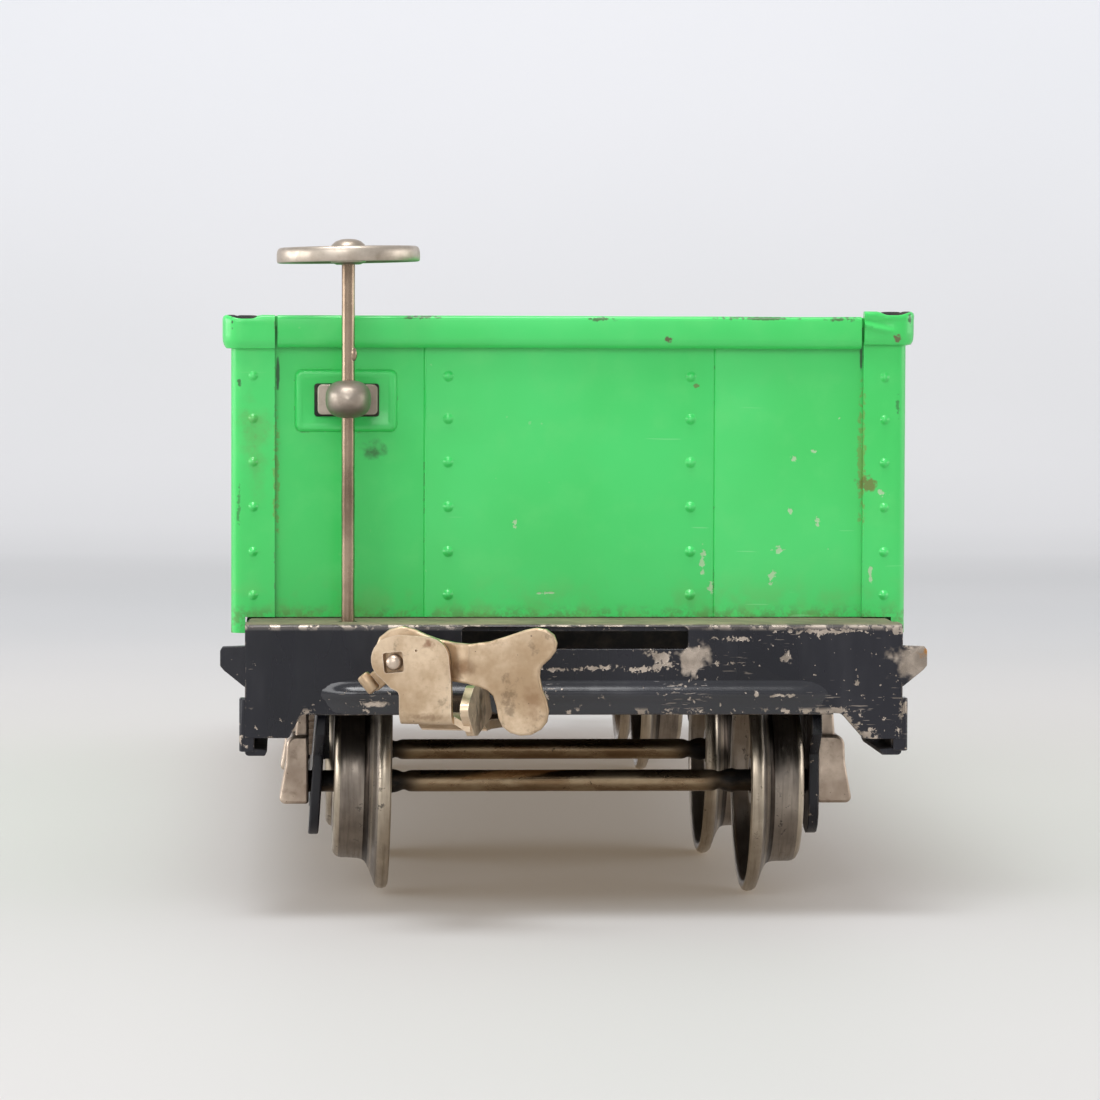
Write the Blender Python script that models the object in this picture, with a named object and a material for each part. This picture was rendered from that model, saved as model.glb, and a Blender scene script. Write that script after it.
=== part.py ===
"""Open-top goods wagon for a wide-gauge tinplate railway: pressed steel tub on a stamped
chassis frame, two four-wheel swivelling trucks, swinging latch couplers and a hand brake.

Y is the length of the wagon with the brake end at -Y, X is its width, Z is up and the
wheel flanges stand on Z = 0. Lengths below are in millimetres; MM turns them into metres.
"""

import math

import bmesh
import bpy
from mathutils import Matrix, Vector

MM = 0.001

# Underframe
FRAME_END_Y = 146.0
FRAME_HALF_W = 43.35
FRAME_SHEET = 1.0
DECK_TOP_Z = 39.0
SILL_Z = 29.7
BELLY_Z = 27.2
LEG_Z = 24.2
STEP_Z = 20.7
STEP_INNER_Y = 125.0
TRUCK_Y = 91.5

# Tub
BODY_SHEET = 0.8
BODY_END_Y = 133.0
WALL_OUT_X = 45.35
BODY_LOW_Z = 39.9
WALL_LOW_Z = 37.0
RIM_TOP_Z = 79.5
RIM_LOW_Z = 75.1
RIM_OUT = 1.95
STRIP_INNER_X = 39.5
CORNER_R = 0.6

# Hand brake
STAFF_X = -29.8
STAFF_Y = -140.0
STAFF_R = 0.875
BRACKET_Z = 68.6
HAND_WHEEL_Z = 87.5
HAND_WHEEL_R = 9.45

# Trucks
AXLE_Z = 15.5
AXLE_R = 1.6
AXLE_HALF = 36.6
AXLE_Y = 24.5
WHEEL_IN_X = 23.9
FLANGE_R = 15.5
TREAD_R = 11.0
WHEEL_BORE_R = 1.9
SIDE_FRAME_X = (33.3, 34.7)
JOURNAL_X = (34.9, 39.5)
KING_PIN_R = 2.0

# Couplers, in a local frame: the swing pivot at the origin, the head towards -Y
SWING_REST = math.radians(-14.0)
BAR_Z = (25.3, 26.5)
HOOK_Y = (-73.3, -72.3)
RIVET = (-6.7, 35.0)
RIVET_R = 1.05
LATCH_BACK_Y = (-72.0, -70.9)
LATCH_JOG = 1.4

FINISHES = {
    "green_enamel": ((0.075, 0.62, 0.15), 0.32, 0.0),
    "black_enamel": ((0.022, 0.022, 0.030), 0.35, 0.0),
    "nickel": ((0.60, 0.54, 0.45), 0.30, 1.0),
    "wheel_steel": ((0.20, 0.185, 0.165), 0.38, 1.0),
    "bronzed_steel": ((0.42, 0.33, 0.23), 0.35, 1.0),
}


def clear_scene():
    for obj in list(bpy.data.objects):
        bpy.data.objects.remove(obj, do_unlink=True)


def material(name, finish):
    colour, roughness, metallic = FINISHES[finish]
    made = bpy.data.materials.new(name + "_finish")
    made.use_nodes = True
    shader = made.node_tree.nodes["Principled BSDF"]
    shader.inputs["Base Color"].default_value = (*colour, 1.0)
    shader.inputs["Roughness"].default_value = roughness
    shader.inputs["Metallic"].default_value = metallic
    made.diffuse_color = (*colour, 1.0)
    return made


def new_object(name, bm):
    bmesh.ops.remove_doubles(bm, verts=bm.verts, dist=1e-7)
    bmesh.ops.recalc_face_normals(bm, faces=bm.faces)
    mesh = bpy.data.meshes.new(name)
    bm.to_mesh(mesh)
    bm.free()
    obj = bpy.data.objects.new(name, mesh)
    bpy.context.collection.objects.link(obj)
    return obj


def axes(normal):
    """Matrix that sends (u, v, depth) to world axes, with depth along the given axis."""
    columns = {
        "X": ((0, 1, 0), (0, 0, 1), (1, 0, 0)),
        "Y": ((1, 0, 0), (0, 0, 1), (0, 1, 0)),
        "Z": ((1, 0, 0), (0, 1, 0), (0, 0, 1)),
    }[normal]
    return Matrix(columns).transposed()


def prism(name, outline, span, normal):
    """Closed solid from a flat outline, running between two depths along one axis."""
    turn = axes(normal)
    bm = bmesh.new()
    rings = [
        [bm.verts.new(turn @ Vector((u * MM, v * MM, depth * MM))) for u, v in outline]
        for depth in span
    ]
    bm.faces.new(rings[0])
    bm.faces.new(rings[1])
    for i in range(len(outline)):
        j = (i + 1) % len(outline)
        bm.faces.new((rings[0][i], rings[0][j], rings[1][j], rings[1][i]))
    return new_object(name, bm)


def box(name, x_span, y_span, z_span):
    outline = [
        (x_span[0], y_span[0]),
        (x_span[1], y_span[0]),
        (x_span[1], y_span[1]),
        (x_span[0], y_span[1]),
    ]
    return prism(name, outline, z_span, "Z")


def arc(cx, cy, radius, start, end, steps):
    """Points on an arc, angles in degrees."""
    points = []
    for i in range(steps + 1):
        angle = math.radians(start + (end - start) * i / steps)
        points.append((cx + radius * math.cos(angle), cy + radius * math.sin(angle)))
    return points


def circle(cx, cy, radius, steps=24):
    return arc(cx, cy, radius, 0.0, 360.0, steps)[:-1]


def rounded_rect(u_span, v_span, radius, steps=4):
    u0, u1 = u_span
    v0, v1 = v_span
    return (
        arc(u1 - radius, v1 - radius, radius, 0, 90, steps)
        + arc(u0 + radius, v1 - radius, radius, 90, 180, steps)
        + arc(u0 + radius, v0 + radius, radius, 180, 270, steps)
        + arc(u1 - radius, v0 + radius, radius, 270, 360, steps)
    )


def lathe(name, profile, axis, steps):
    """Turned solid: profile is a closed loop of (radius, position) about X or Z."""
    bm = bmesh.new()
    rings = []
    for radius, position in profile:
        ring = []
        for i in range(1 if radius == 0 else steps):
            angle = 2 * math.pi * i / steps
            a = radius * MM * math.cos(angle)
            b = radius * MM * math.sin(angle)
            p = position * MM
            ring.append(bm.verts.new((p, a, b) if axis == "X" else (a, b, p)))
        rings.append(ring)
    for k in range(len(rings)):
        lower, upper = rings[k], rings[(k + 1) % len(rings)]
        if len(lower) == 1 and len(upper) == 1:
            continue
        for i in range(steps):
            j = (i + 1) % steps
            corners = [lower[i % len(lower)], lower[j % len(lower)]]
            corners += [upper[j % len(upper)], upper[i % len(upper)]]
            bm.faces.new(list(dict.fromkeys(corners)))
    return new_object(name, bm)


def boolean(base, tools, operation):
    for tool in tools:
        step = base.modifiers.new(operation.lower(), "BOOLEAN")
        step.operation = operation
        step.solver = "EXACT"
        step.object = tool
    bpy.context.view_layer.update()
    graph = bpy.context.evaluated_depsgraph_get()
    result = bpy.data.meshes.new_from_object(base.evaluated_get(graph))
    base.modifiers.clear()
    base.data = result
    for tool in tools:
        bpy.data.objects.remove(tool, do_unlink=True)
    return base


def join(base, *tools):
    return boolean(base, tools, "UNION")


def cut(base, *tools):
    return boolean(base, tools, "DIFFERENCE")


def finish(obj, name, look, smooth=False, bevel=0.0):
    """Names the piece, gives it its material and, when asked, smooth shading or a bevel."""
    obj.name = name
    obj.data.name = name
    obj.data.materials.clear()
    obj.data.materials.append(material(name, look))
    for face in obj.data.polygons:
        face.use_smooth = smooth
    if smooth:
        obj.data.set_sharp_from_angle(angle=math.radians(35))
    if bevel:
        edge = obj.modifiers.new("bevel", "BEVEL")
        edge.width = bevel * MM
        edge.segments = 1
        edge.limit_method = "ANGLE"
        edge.angle_limit = math.radians(50)
    return obj


def place(obj, location, parent=None, turn=0.0):
    obj.location = [value * MM for value in location]
    obj.rotation_euler = (0.0, 0.0, turn)
    if parent is not None:
        obj.parent = parent
    return obj


def pivot(name, location):
    empty = bpy.data.objects.new(name, None)
    empty.empty_display_size = 0.01
    bpy.context.collection.objects.link(empty)
    return place(empty, location)


# ---------------------------------------------------------------- tub


def side_path(sign):
    """Inner line of a side wall and its two wrapped end flanges, with outward directions."""
    wall_x = WALL_OUT_X - BODY_SHEET
    end_y = BODY_END_Y - BODY_SHEET
    stations = [((STRIP_INNER_X, -end_y), -90.0)]
    for angle in (-90.0, -67.5, -45.0, -22.5, 0.0):
        centre = (wall_x - CORNER_R, -(end_y - CORNER_R))
        stations.append((arc(*centre, CORNER_R, angle, angle, 1)[0], angle))
    for angle in (0.0, 22.5, 45.0, 67.5, 90.0):
        centre = (wall_x - CORNER_R, end_y - CORNER_R)
        stations.append((arc(*centre, CORNER_R, angle, angle, 1)[0], angle))
    stations.append(((STRIP_INNER_X, end_y), 90.0))
    return [((sign * x, y), sign, angle) for (x, y), angle in stations]


def side_panel(name, sign):
    """Side wall with hemmed rim, wrapped round both corners as riveted strips."""
    fold = BODY_SHEET
    gap = 0.4
    section = [
        (0.0, None),
        (fold, None),
        (fold, RIM_TOP_Z - 0.8),
        (fold + gap, RIM_TOP_Z - 0.8),
        (fold + gap, RIM_LOW_Z),
        (RIM_OUT, RIM_LOW_Z),
        (RIM_OUT, RIM_TOP_Z - 0.4),
        (RIM_OUT - 0.4, RIM_TOP_Z),
        (0.0, RIM_TOP_Z),
    ]
    bm = bmesh.new()
    rings = []
    for (x, y), side, angle in side_path(sign):
        out = (side * math.cos(math.radians(angle)), math.sin(math.radians(angle)))
        drop = max(0.0, 1.0 - abs(angle) / 67.5)
        low = BODY_LOW_Z + (WALL_LOW_Z - BODY_LOW_Z) * drop
        rings.append(
            [
                bm.verts.new(
                    Vector((x + out[0] * d, y + out[1] * d, low if z is None else z)) * MM
                )
                for d, z in section
            ]
        )
    for first, second in zip(rings, rings[1:]):
        for i in range(len(section)):
            j = (i + 1) % len(section)
            bm.faces.new((first[i], first[j], second[j], second[i]))
    bm.faces.new(rings[0])
    bm.faces.new(rings[-1])
    return finish(new_object(name, bm), name, "green_enamel")


def end_panel(name, sign, with_pad):
    """End wall between the corner strips, with its own hemmed rim."""
    outer = BODY_END_Y - BODY_SHEET - 0.3
    inner = outer - BODY_SHEET
    lip = BODY_END_Y + 0.95
    panel = box(
        name,
        (-(WALL_OUT_X - 1.15), WALL_OUT_X - 1.15),
        sorted((sign * inner, sign * outer)),
        (BODY_LOW_Z, RIM_TOP_Z - 0.2),
    )
    hem = [
        (outer - 0.4, RIM_TOP_Z - 0.8),
        (lip - 0.75, RIM_TOP_Z - 0.8),
        (lip - 0.75, RIM_LOW_Z),
        (lip, RIM_LOW_Z),
        (lip, RIM_TOP_Z - 0.4),
        (lip - 0.4, RIM_TOP_Z),
        (outer - 0.4, RIM_TOP_Z),
    ]
    half = STRIP_INNER_X - 0.3
    pieces = [prism("hem", [(sign * y, z) for y, z in hem], (-half, half), "X")]
    if with_pad:
        pad = rounded_rect(
            (STAFF_X - 6.8, STAFF_X + 6.8), (BRACKET_Z - 4.2, BRACKET_Z + 4.2), 1.2
        )
        span = sorted((sign * (outer - 0.4), sign * (outer + 0.7)))
        pieces.append(prism("pad", pad, span, "Y"))
    return finish(join(panel, *pieces), name, "green_enamel")


def floor_panel():
    """Tub floor: upturned long edges and six tabs clenched under the deck."""
    half_x = WALL_OUT_X - 1.15
    half_y = BODY_END_Y - BODY_SHEET - 0.3 - BODY_SHEET - 0.3
    low = BODY_LOW_Z
    top = low + BODY_SHEET
    tray = [
        (-half_x, low),
        (half_x, low),
        (half_x, low + 4.0),
        (half_x - BODY_SHEET, low + 4.0),
        (half_x - BODY_SHEET, top),
        (-half_x + BODY_SHEET, top),
        (-half_x + BODY_SHEET, low + 4.0),
        (-half_x, low + 4.0),
    ]
    panel = prism("floor_panel", tray, (-half_y, half_y), "Y")
    tabs = []
    under = DECK_TOP_Z - FRAME_SHEET
    for x, y in tab_places():
        side = math.copysign(1.0, x)
        hook = [
            (x - side * 0.4, low + 0.4),
            (x - side * 0.4, under - 1.1),
            (x + side * 4.4, under - 1.1),
            (x + side * 4.4, under - 0.3),
            (x + side * 0.4, under - 0.3),
            (x + side * 0.4, low + 0.4),
        ]
        tabs.append(prism("tab", hook, (y - 3.0, y + 3.0), "Y"))
    return finish(join(panel, *tabs), "floor_panel", "green_enamel")


def tab_places():
    return [(x, y) for x in (-32.0, 32.0) for y in (-50.0, 0.0, 50.0)]


def blank_plate(name, sign, y):
    """Blank nickel plate on a side wall."""
    outline = rounded_rect((y - 17.0, y + 17.0), (52.0, 60.0), 1.0)
    inner = WALL_OUT_X + 0.1
    span = sorted((sign * inner, sign * (inner + 0.6)))
    return finish(prism(name, outline, span, "X"), name, "nickel")


# ---------------------------------------------------------------- underframe


def chassis_frame():
    """One stamping: deck, side sills, end plates with ears and legs, and corner steps."""
    w = FRAME_HALF_W
    t = FRAME_SHEET
    end = FRAME_END_Y
    frame = box("chassis_frame", (-w, w), (-end, end), (STEP_Z, DECK_TOP_Z))
    inside = (-(end - t), end - t)
    hollow = box("hollow", (t - w, w - t), inside, (STEP_Z + t, DECK_TOP_Z - t))
    foot = box("foot", (2.9 - w, w - 2.9), inside, (STEP_Z - 5.0, STEP_Z + 3.0))
    sill = [
        (-STEP_INNER_Y, STEP_Z - 5.0),
        (-STEP_INNER_Y, SILL_Z - 3.5),
        (-STEP_INNER_Y + 3.5, SILL_Z),
        (-58.0, SILL_Z),
        (-53.0, BELLY_Z),
        (53.0, BELLY_Z),
        (58.0, SILL_Z),
        (STEP_INNER_Y - 3.5, SILL_Z),
        (STEP_INNER_Y, SILL_Z - 3.5),
        (STEP_INNER_Y, STEP_Z - 5.0),
    ]
    cut(frame, hollow)
    cut(frame, foot)
    cut(frame, prism("sill", sill, (-w - 5.0, w + 5.0), "X"))
    for sign in (-1, 1):
        cut(frame, end_notch(sign), end_slot(sign))
        join(frame, *[ear(sign, side) for side in (-1, 1)])
    slots = [
        box("slot", (x - 1.0, x + 1.0), (y - 3.6, y + 3.6), (DECK_TOP_Z - 3, DECK_TOP_Z + 3))
        for x, y in tab_places()
    ]
    cut(frame, *slots)
    cut(frame, prism("hole", circle(STAFF_X, STAFF_Y, STAFF_R + 0.3, 16), (36, 42), "Z"))
    return finish(frame, "chassis_frame", "black_enamel")


def end_notch(sign):
    """Cutter that leaves the end plate its straight bottom and two corner legs."""
    low = STEP_Z - 5.0
    outline = [
        (-60.0, low),
        (-60.0, LEG_Z),
        (-37.6, LEG_Z),
        (-34.2, BELLY_Z),
        (34.2, BELLY_Z),
        (37.6, LEG_Z),
        (60.0, LEG_Z),
        (60.0, low),
    ]
    span = sorted((sign * (FRAME_END_Y - 2.2), sign * (FRAME_END_Y + 3.0)))
    return prism("notch", outline, span, "Y")


def end_slot(sign):
    span = sorted((sign * (FRAME_END_Y - 3.0), sign * (FRAME_END_Y + 3.0)))
    return prism("slot", rounded_rect((-14.9, 14.9), (35.9, 38.4), 0.6, 2), span, "Y")


def ear(sign, side):
    """Pointed ear at the edge of an end plate."""
    outline = [
        (FRAME_HALF_W - 2.0, 30.8),
        (FRAME_HALF_W, 30.8),
        (46.0, 33.0),
        (46.6, 33.6),
        (46.6, 35.6),
        (46.2, 36.1),
        (FRAME_HALF_W - 2.0, 36.1),
    ]
    span = sorted((sign * (FRAME_END_Y - 0.05), sign * (FRAME_END_Y - 0.95)))
    return prism("ear", [(side * x, z) for x, z in outline], span, "Y")


def frame_bolster(name, y):
    """Hat-section cross member under the deck that carries a king pin."""
    top = DECK_TOP_Z - FRAME_SHEET - 0.3
    low = 31.3
    section = [
        (-7.0, low),
        (7.0, low),
        (8.0, top - 1.0),
        (12.0, top - 1.0),
        (12.0, top),
        (7.0, top),
        (6.0, low + 1.0),
        (-6.0, low + 1.0),
        (-7.0, top),
        (-12.0, top),
        (-12.0, top - 1.0),
        (-8.0, top - 1.0),
    ]
    half = FRAME_HALF_W - FRAME_SHEET - 0.4
    beam = prism(name, [(y + v, z) for v, z in section], (-half, half), "X")
    cut(beam, prism("hole", circle(0.0, y, KING_PIN_R + 0.1, 16), (low - 3, low + 3), "Z"))
    return finish(beam, name, "black_enamel")


def king_pin(name, y):
    """Riveted pin with a collar: the truck turns above the collar, the drawbar below it."""
    profile = [
        (0.0, 23.3),
        (2.6, 23.5),
        (3.8, 24.3),
        (3.8, 25.0),
        (KING_PIN_R, 25.0),
        (KING_PIN_R, 26.8),
        (3.5, 26.8),
        (3.5, 29.5),
        (KING_PIN_R, 29.5),
        (KING_PIN_R, 32.6),
        (3.4, 32.6),
        (3.4, 33.2),
        (2.2, 34.1),
        (0.0, 34.3),
    ]
    pin = place(lathe(name, profile, "Z", 24), (0.0, y, 0.0))
    return finish(pin, name, "nickel", smooth=True)


# ---------------------------------------------------------------- hand brake


def brake_bracket():
    """Nickel bracket on the end wall whose eye steadies the staff."""
    face = -(BODY_END_Y - BODY_SHEET - 0.3 + 0.7) - 0.3
    z = BRACKET_Z
    base = prism(
        "brake_bracket",
        rounded_rect((STAFF_X - 4.0, STAFF_X + 4.0), (z - 2.05, z + 2.05), 0.9),
        (face - 0.8, face),
        "Y",
    )
    arm = box("arm", (STAFF_X - 2.1, STAFF_X + 2.1), (STAFF_Y, face - 0.3), (z - 1.6, z + 1.6))
    eye = prism("eye", circle(STAFF_X, STAFF_Y, 3.1), (z - 2.45, z + 2.45), "Z")
    join(base, arm, eye)
    hole = prism("hole", circle(STAFF_X, STAFF_Y, STAFF_R + 0.3, 16), (z - 9, z + 9), "Z")
    return finish(cut(base, hole), "brake_bracket", "nickel", smooth=True)


def brake_staff():
    profile = [
        (0.0, 36.4),
        (STAFF_R, 36.6),
        (STAFF_R, HAND_WHEEL_Z + 0.6),
        (0.0, HAND_WHEEL_Z + 0.8),
    ]
    staff = place(lathe("brake_staff", profile, "Z", 16), (STAFF_X, STAFF_Y, 0.0))
    return finish(staff, "brake_staff", "nickel", smooth=True)


def brake_wheel():
    """Five-spoked hand wheel with a domed hub, blind-bored for the staff."""
    z = 0.0
    rim = [
        (HAND_WHEEL_R - 0.5, z - 1.0),
        (HAND_WHEEL_R, z - 0.5),
        (HAND_WHEEL_R, z + 0.5),
        (HAND_WHEEL_R - 0.5, z + 1.0),
        (HAND_WHEEL_R - 1.5, z + 1.0),
        (HAND_WHEEL_R - 2.0, z + 0.5),
        (HAND_WHEEL_R - 2.0, z - 0.5),
        (HAND_WHEEL_R - 1.5, z - 1.0),
    ]
    wheel = lathe("brake_wheel", rim, "Z", 32)
    hub = [(0.0, -1.2), (2.2, -1.2), (2.4, 0.6), (1.6, 1.6), (0.8, 2.0), (0.0, 2.1)]
    spokes = []
    for k in range(5):
        spoke = box("spoke", (1.0, HAND_WHEEL_R - 1.0), (-0.8, 0.8), (-0.6, 0.6))
        spoke.rotation_euler = (0.0, 0.0, 2 * math.pi * k / 5)
        spokes.append(spoke)
    join(wheel, lathe("hub", hub, "Z", 20), *spokes)
    cut(wheel, prism("bore", circle(0.0, 0.0, STAFF_R + 0.1, 16), (-3.0, 0.95), "Z"))
    place(wheel, (STAFF_X, STAFF_Y, HAND_WHEEL_Z))
    return finish(wheel, "brake_wheel", "nickel", smooth=True)


# ---------------------------------------------------------------- trucks


def truck_bolster(name, parent):
    """Inverted channel across the truck; its legs are riveted to the side frames."""
    half = SIDE_FRAME_X[0] - 0.3
    leg = 1.1
    section = [
        (-half, 17.0),
        (-half, 30.2),
        (-half + 0.8, 31.0),
        (half - 0.8, 31.0),
        (half, 30.2),
        (half, 17.0),
        (half - leg, 17.0),
        (half - leg, 29.8),
        (-half + leg, 29.8),
        (-half + leg, 17.0),
    ]
    beam = prism(name, section, (-7.5, 7.5), "Y")
    cut(beam, prism("hole", circle(0.0, 0.0, KING_PIN_R + 0.3, 20), (25.0, 35.0), "Z"))
    return finish(place(beam, (0, 0, 0), parent), name, "black_enamel")


def side_frame(name, sign, parent):
    """Pressed side frame: arched top bar, two rounded pedestals and a sprung centre."""
    half = (
        [(0.0, 28.4), (10.0, 28.4), (17.0, 26.6), (31.0, 26.6)]
        + arc(31.0, 24.6, 2.0, 60, 0, 2)
        + [(33.0, 22.5), (29.3, 19.5)]
        + arc(24.5, 13.8, 4.8, 0, -180, 8)
        + [(19.7, 17.5), (12.5, 14.2), (9.0, 11.2), (0.0, 11.2)]
    )
    mirrored = [(-y, z) for y, z in reversed(half) if y > 0.0]
    span = sorted((sign * SIDE_FRAME_X[0], sign * SIDE_FRAME_X[1]))
    plate = prism(name, half + mirrored, span, "X")
    wide = (sign * 34.0 - 5.0, sign * 34.0 + 5.0)
    tools = []
    for side in (-1, 1):
        window = [(9.0, 25.0), (15.5, 23.4), (15.5, 19.2), (9.0, 15.8)]
        tools.append(prism("window", [(side * y, z) for y, z in window], wide, "X"))
        bore = circle(side * AXLE_Y, AXLE_Z, AXLE_R + 0.3, 16)
        tools.append(prism("bore", bore, wide, "X"))
    return finish(place(cut(plate, *tools), (0, 0, 0), parent), name, "black_enamel")


def journal_box(name, sign, y, parent):
    """Nickel journal box outside the side frame, blind-bored for the axle end."""
    base, out = JOURNAL_X
    section = [
        (base, 12.7),
        (out - 0.4, 12.7),
        (out, 13.4),
        (out - 0.7, 17.2),
        (out - 1.3, 19.4),
        (out - 1.2, 21.0),
        (out - 2.0, 22.1),
        (base, 22.1),
    ]
    neck = [(base, 21.8), (out - 2.2, 21.8), (out - 2.6, 26.2), (base, 26.2)]
    case = prism(name, [(sign * x, z) for x, z in section], (y - 4.0, y + 4.0), "Y")
    join(case, prism("neck", [(sign * x, z) for x, z in neck], (y - 2.8, y + 2.8), "Y"))
    span = sorted((sign * (base - 2.0), sign * (AXLE_HALF + 0.3)))
    cut(case, prism("bore", circle(y, AXLE_Z, AXLE_R + 0.3, 16), span, "X"))
    return finish(place(case, (0, 0, 0), parent), name, "nickel")


def axle(name, y, parent):
    profile = [
        (0.0, -AXLE_HALF),
        (AXLE_R - 0.3, -AXLE_HALF),
        (AXLE_R, -AXLE_HALF + 0.4),
        (AXLE_R, AXLE_HALF - 0.4),
        (AXLE_R - 0.3, AXLE_HALF),
        (0.0, AXLE_HALF),
    ]
    rod = place(lathe(name, profile, "X", 20), (0.0, y, AXLE_Z), parent)
    return finish(rod, name, "bronzed_steel", smooth=True)


def wheel(name, sign, y, parent):
    """Flanged wheel, hollow on both faces, loose on its axle."""
    profile = [
        (WHEEL_BORE_R, 0.2),
        (4.2, 0.2),
        (4.6, 2.2),
        (9.4, 2.6),
        (10.2, 0.4),
        (FLANGE_R - 0.8, 0.0),
        (FLANGE_R, 0.8),
        (FLANGE_R - 0.1, 1.5),
        (13.2, 2.3),
        (TREAD_R + 0.5, 3.3),
        (TREAD_R, 8.0),
        (TREAD_R - 0.4, 8.4),
        (9.6, 8.4),
        (9.1, 5.2),
        (4.4, 4.8),
        (3.6, 8.3),
        (WHEEL_BORE_R, 8.3),
    ]
    turned = [(r, sign * (WHEEL_IN_X + x)) for r, x in profile]
    disc = place(lathe(name, turned, "X", 28), (0.0, y, AXLE_Z), parent)
    return finish(disc, name, "wheel_steel", smooth=True)


def truck(tag, y):
    centre = pivot("truck_pivot_" + tag, (0.0, y, 0.0))
    truck_bolster("truck_bolster_" + tag, centre)
    for side, sign in (("left", -1), ("right", 1)):
        side_frame(f"side_frame_{tag}_{side}", sign, centre)
    for row, offset in (("outer", -AXLE_Y), ("inner", AXLE_Y)):
        shift = offset if y < 0 else -offset
        axle(f"axle_{tag}_{row}", shift, centre)
        for side, sign in (("left", -1), ("right", 1)):
            journal_box(f"journal_box_{tag}_{row}_{side}", sign, shift, centre)
            wheel(f"wheel_{tag}_{row}_{side}", sign, shift, centre)


# ---------------------------------------------------------------- couplers


def drawbar(name, location, turn):
    """Flat bar on the king pin that widens to a channel and folds up into the hook plate."""
    low, top = BAR_Z
    outline = (
        arc(0.0, 0.0, 6.0, -48, 228, 16)
        + [(-4.5, -52.0), (-8.5, -60.0), (-8.5, HOOK_Y[1] - 0.5)]
        + [(3.6, HOOK_Y[1] - 0.5), (3.6, -60.0), (4.5, -52.0)]
    )
    bar = prism("drawbar", outline, (low, top), "Z")
    rx, rz = RIVET
    plate = (
        arc(rx, rz, 2.9, 250, 105, 8)
        + arc(rx + 4.7, rz + 1.2, 2.6, 90, 0, 4)
        + [(rx + 7.3, low + 0.2), (rx + 0.9, low + 0.2)]
    )
    hook = prism("hook", plate, HOOK_Y, "Y")
    channel = []
    for x_span, front in (((2.6, 3.58), HOOK_Y[1] - 0.45), ((-8.48, -7.5), -70.3)):
        flange = [(front, top - 0.6), (front, 31.0)]
        flange += [(-62.5, 31.0), (-60.8, top - 0.6)]
        channel.append(prism("flange", flange, x_span, "X"))
    join(bar, hook, *channel)
    cut(bar, prism("eye", circle(0.0, 0.0, KING_PIN_R + 0.3, 20), (low - 3, top + 3), "Z"))
    bore = prism("bore", circle(rx, rz, RIVET_R + 0.25, 16), (HOOK_Y[0] - 3, HOOK_Y[1] + 0.2), "Y")
    cut(bar, bore)
    return finish(place(bar, location, turn=turn), name, "nickel")


def latch_outline():
    """Dog-bone lever seen from the front, about the rivet."""
    return (
        arc(0.0, 0.0, 3.0, 210, 150, 3)
        + arc(1.1, 2.05, 2.6, 150, 60, 5)
        + [(7.0, 2.6), (15.8, 2.6)]
        + arc(19.0, 2.5, 1.9, 150, -60, 6)
        + [(18.8, -0.2), (18.8, -2.4)]
        + arc(16.6, -5.7, 3.4, 40, -180, 8)
        + [(13.0, -3.8), (11.6, -2.7), (3.0, -2.7), (-1.2, -2.8)]
        + [(-2.4, -4.5), (-4.8, -3.2), (-4.7, -1.3)]
    )


def latch(name, parent):
    """Tipping lever, jogged forward past the edge of the hook plate."""
    rx, rz = RIVET
    middle = HOOK_Y[0]
    span = (LATCH_BACK_Y[0] - middle, LATCH_BACK_Y[1] - middle)
    lever = prism(name, latch_outline(), span, "Y")
    cut(lever, prism("bore", circle(0.0, 0.0, RIVET_R + 0.3, 16), (-3.0, 6.0), "Y"))
    bm = bmesh.new()
    bm.from_mesh(lever.data)
    for x in (7.9, 9.6):
        geometry = bm.verts[:] + bm.edges[:] + bm.faces[:]
        point = (x * MM, 0.0, 0.0)
        bmesh.ops.bisect_plane(bm, geom=geometry, plane_co=point, plane_no=(1, 0, 0))
    for vert in bm.verts:
        if vert.co.x > 9.5 * MM:
            vert.co.y -= LATCH_JOG * MM
    bmesh.ops.triangulate(bm, faces=bm.faces)
    bm.to_mesh(lever.data)
    bm.free()
    return finish(place(lever, (rx, middle, rz), parent), name, "nickel")


def latch_rivet(name, parent):
    """Rivet through the hook plate with a washer end behind the latch."""
    rx, rz = RIVET
    front = HOOK_Y[0]
    back = LATCH_BACK_Y[1]
    profile = [
        (0.0, front - 0.9),
        (0.8, front - 0.85),
        (1.7, front - 0.3),
        (RIVET_R, front - 0.3),
        (RIVET_R, back + 0.3),
        (2.0, back + 0.3),
        (2.0, back + 0.7),
        (1.3, back + 1.2),
        (0.0, back + 1.3),
    ]
    pin = lathe(name, profile, "Z", 20)
    pin.data.transform(Matrix.Rotation(math.radians(-90.0), 4, "X"))
    return finish(place(pin, (rx, 0.0, rz), parent), name, "nickel", smooth=True)


def coupler(tag, y, turn):
    bar = drawbar("drawbar_" + tag, (0.0, y, 0.0), turn)
    latch("latch_" + tag, bar)
    latch_rivet("latch_rivet_" + tag, bar)


# ---------------------------------------------------------------- assembly


def main():
    clear_scene()
    chassis_frame()
    side_panel("side_panel_left", -1)
    side_panel("side_panel_right", 1)
    end_panel("end_panel_brake", -1, True)
    end_panel("end_panel_plain", 1, False)
    floor_panel()
    for side, sign in (("left", -1), ("right", 1)):
        for row, y in (("front", -62.0), ("rear", 62.0)):
            blank_plate(f"blank_plate_{side}_{row}", sign, y)
    brake_bracket()
    brake_staff()
    brake_wheel()
    for tag, y in (("a", -TRUCK_Y), ("b", TRUCK_Y)):
        frame_bolster("frame_bolster_" + tag, y)
        king_pin("king_pin_" + tag, y)
        truck(tag, y)
    coupler("a", -TRUCK_Y, SWING_REST)
    coupler("b", TRUCK_Y, SWING_REST + math.pi)


main()
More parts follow.
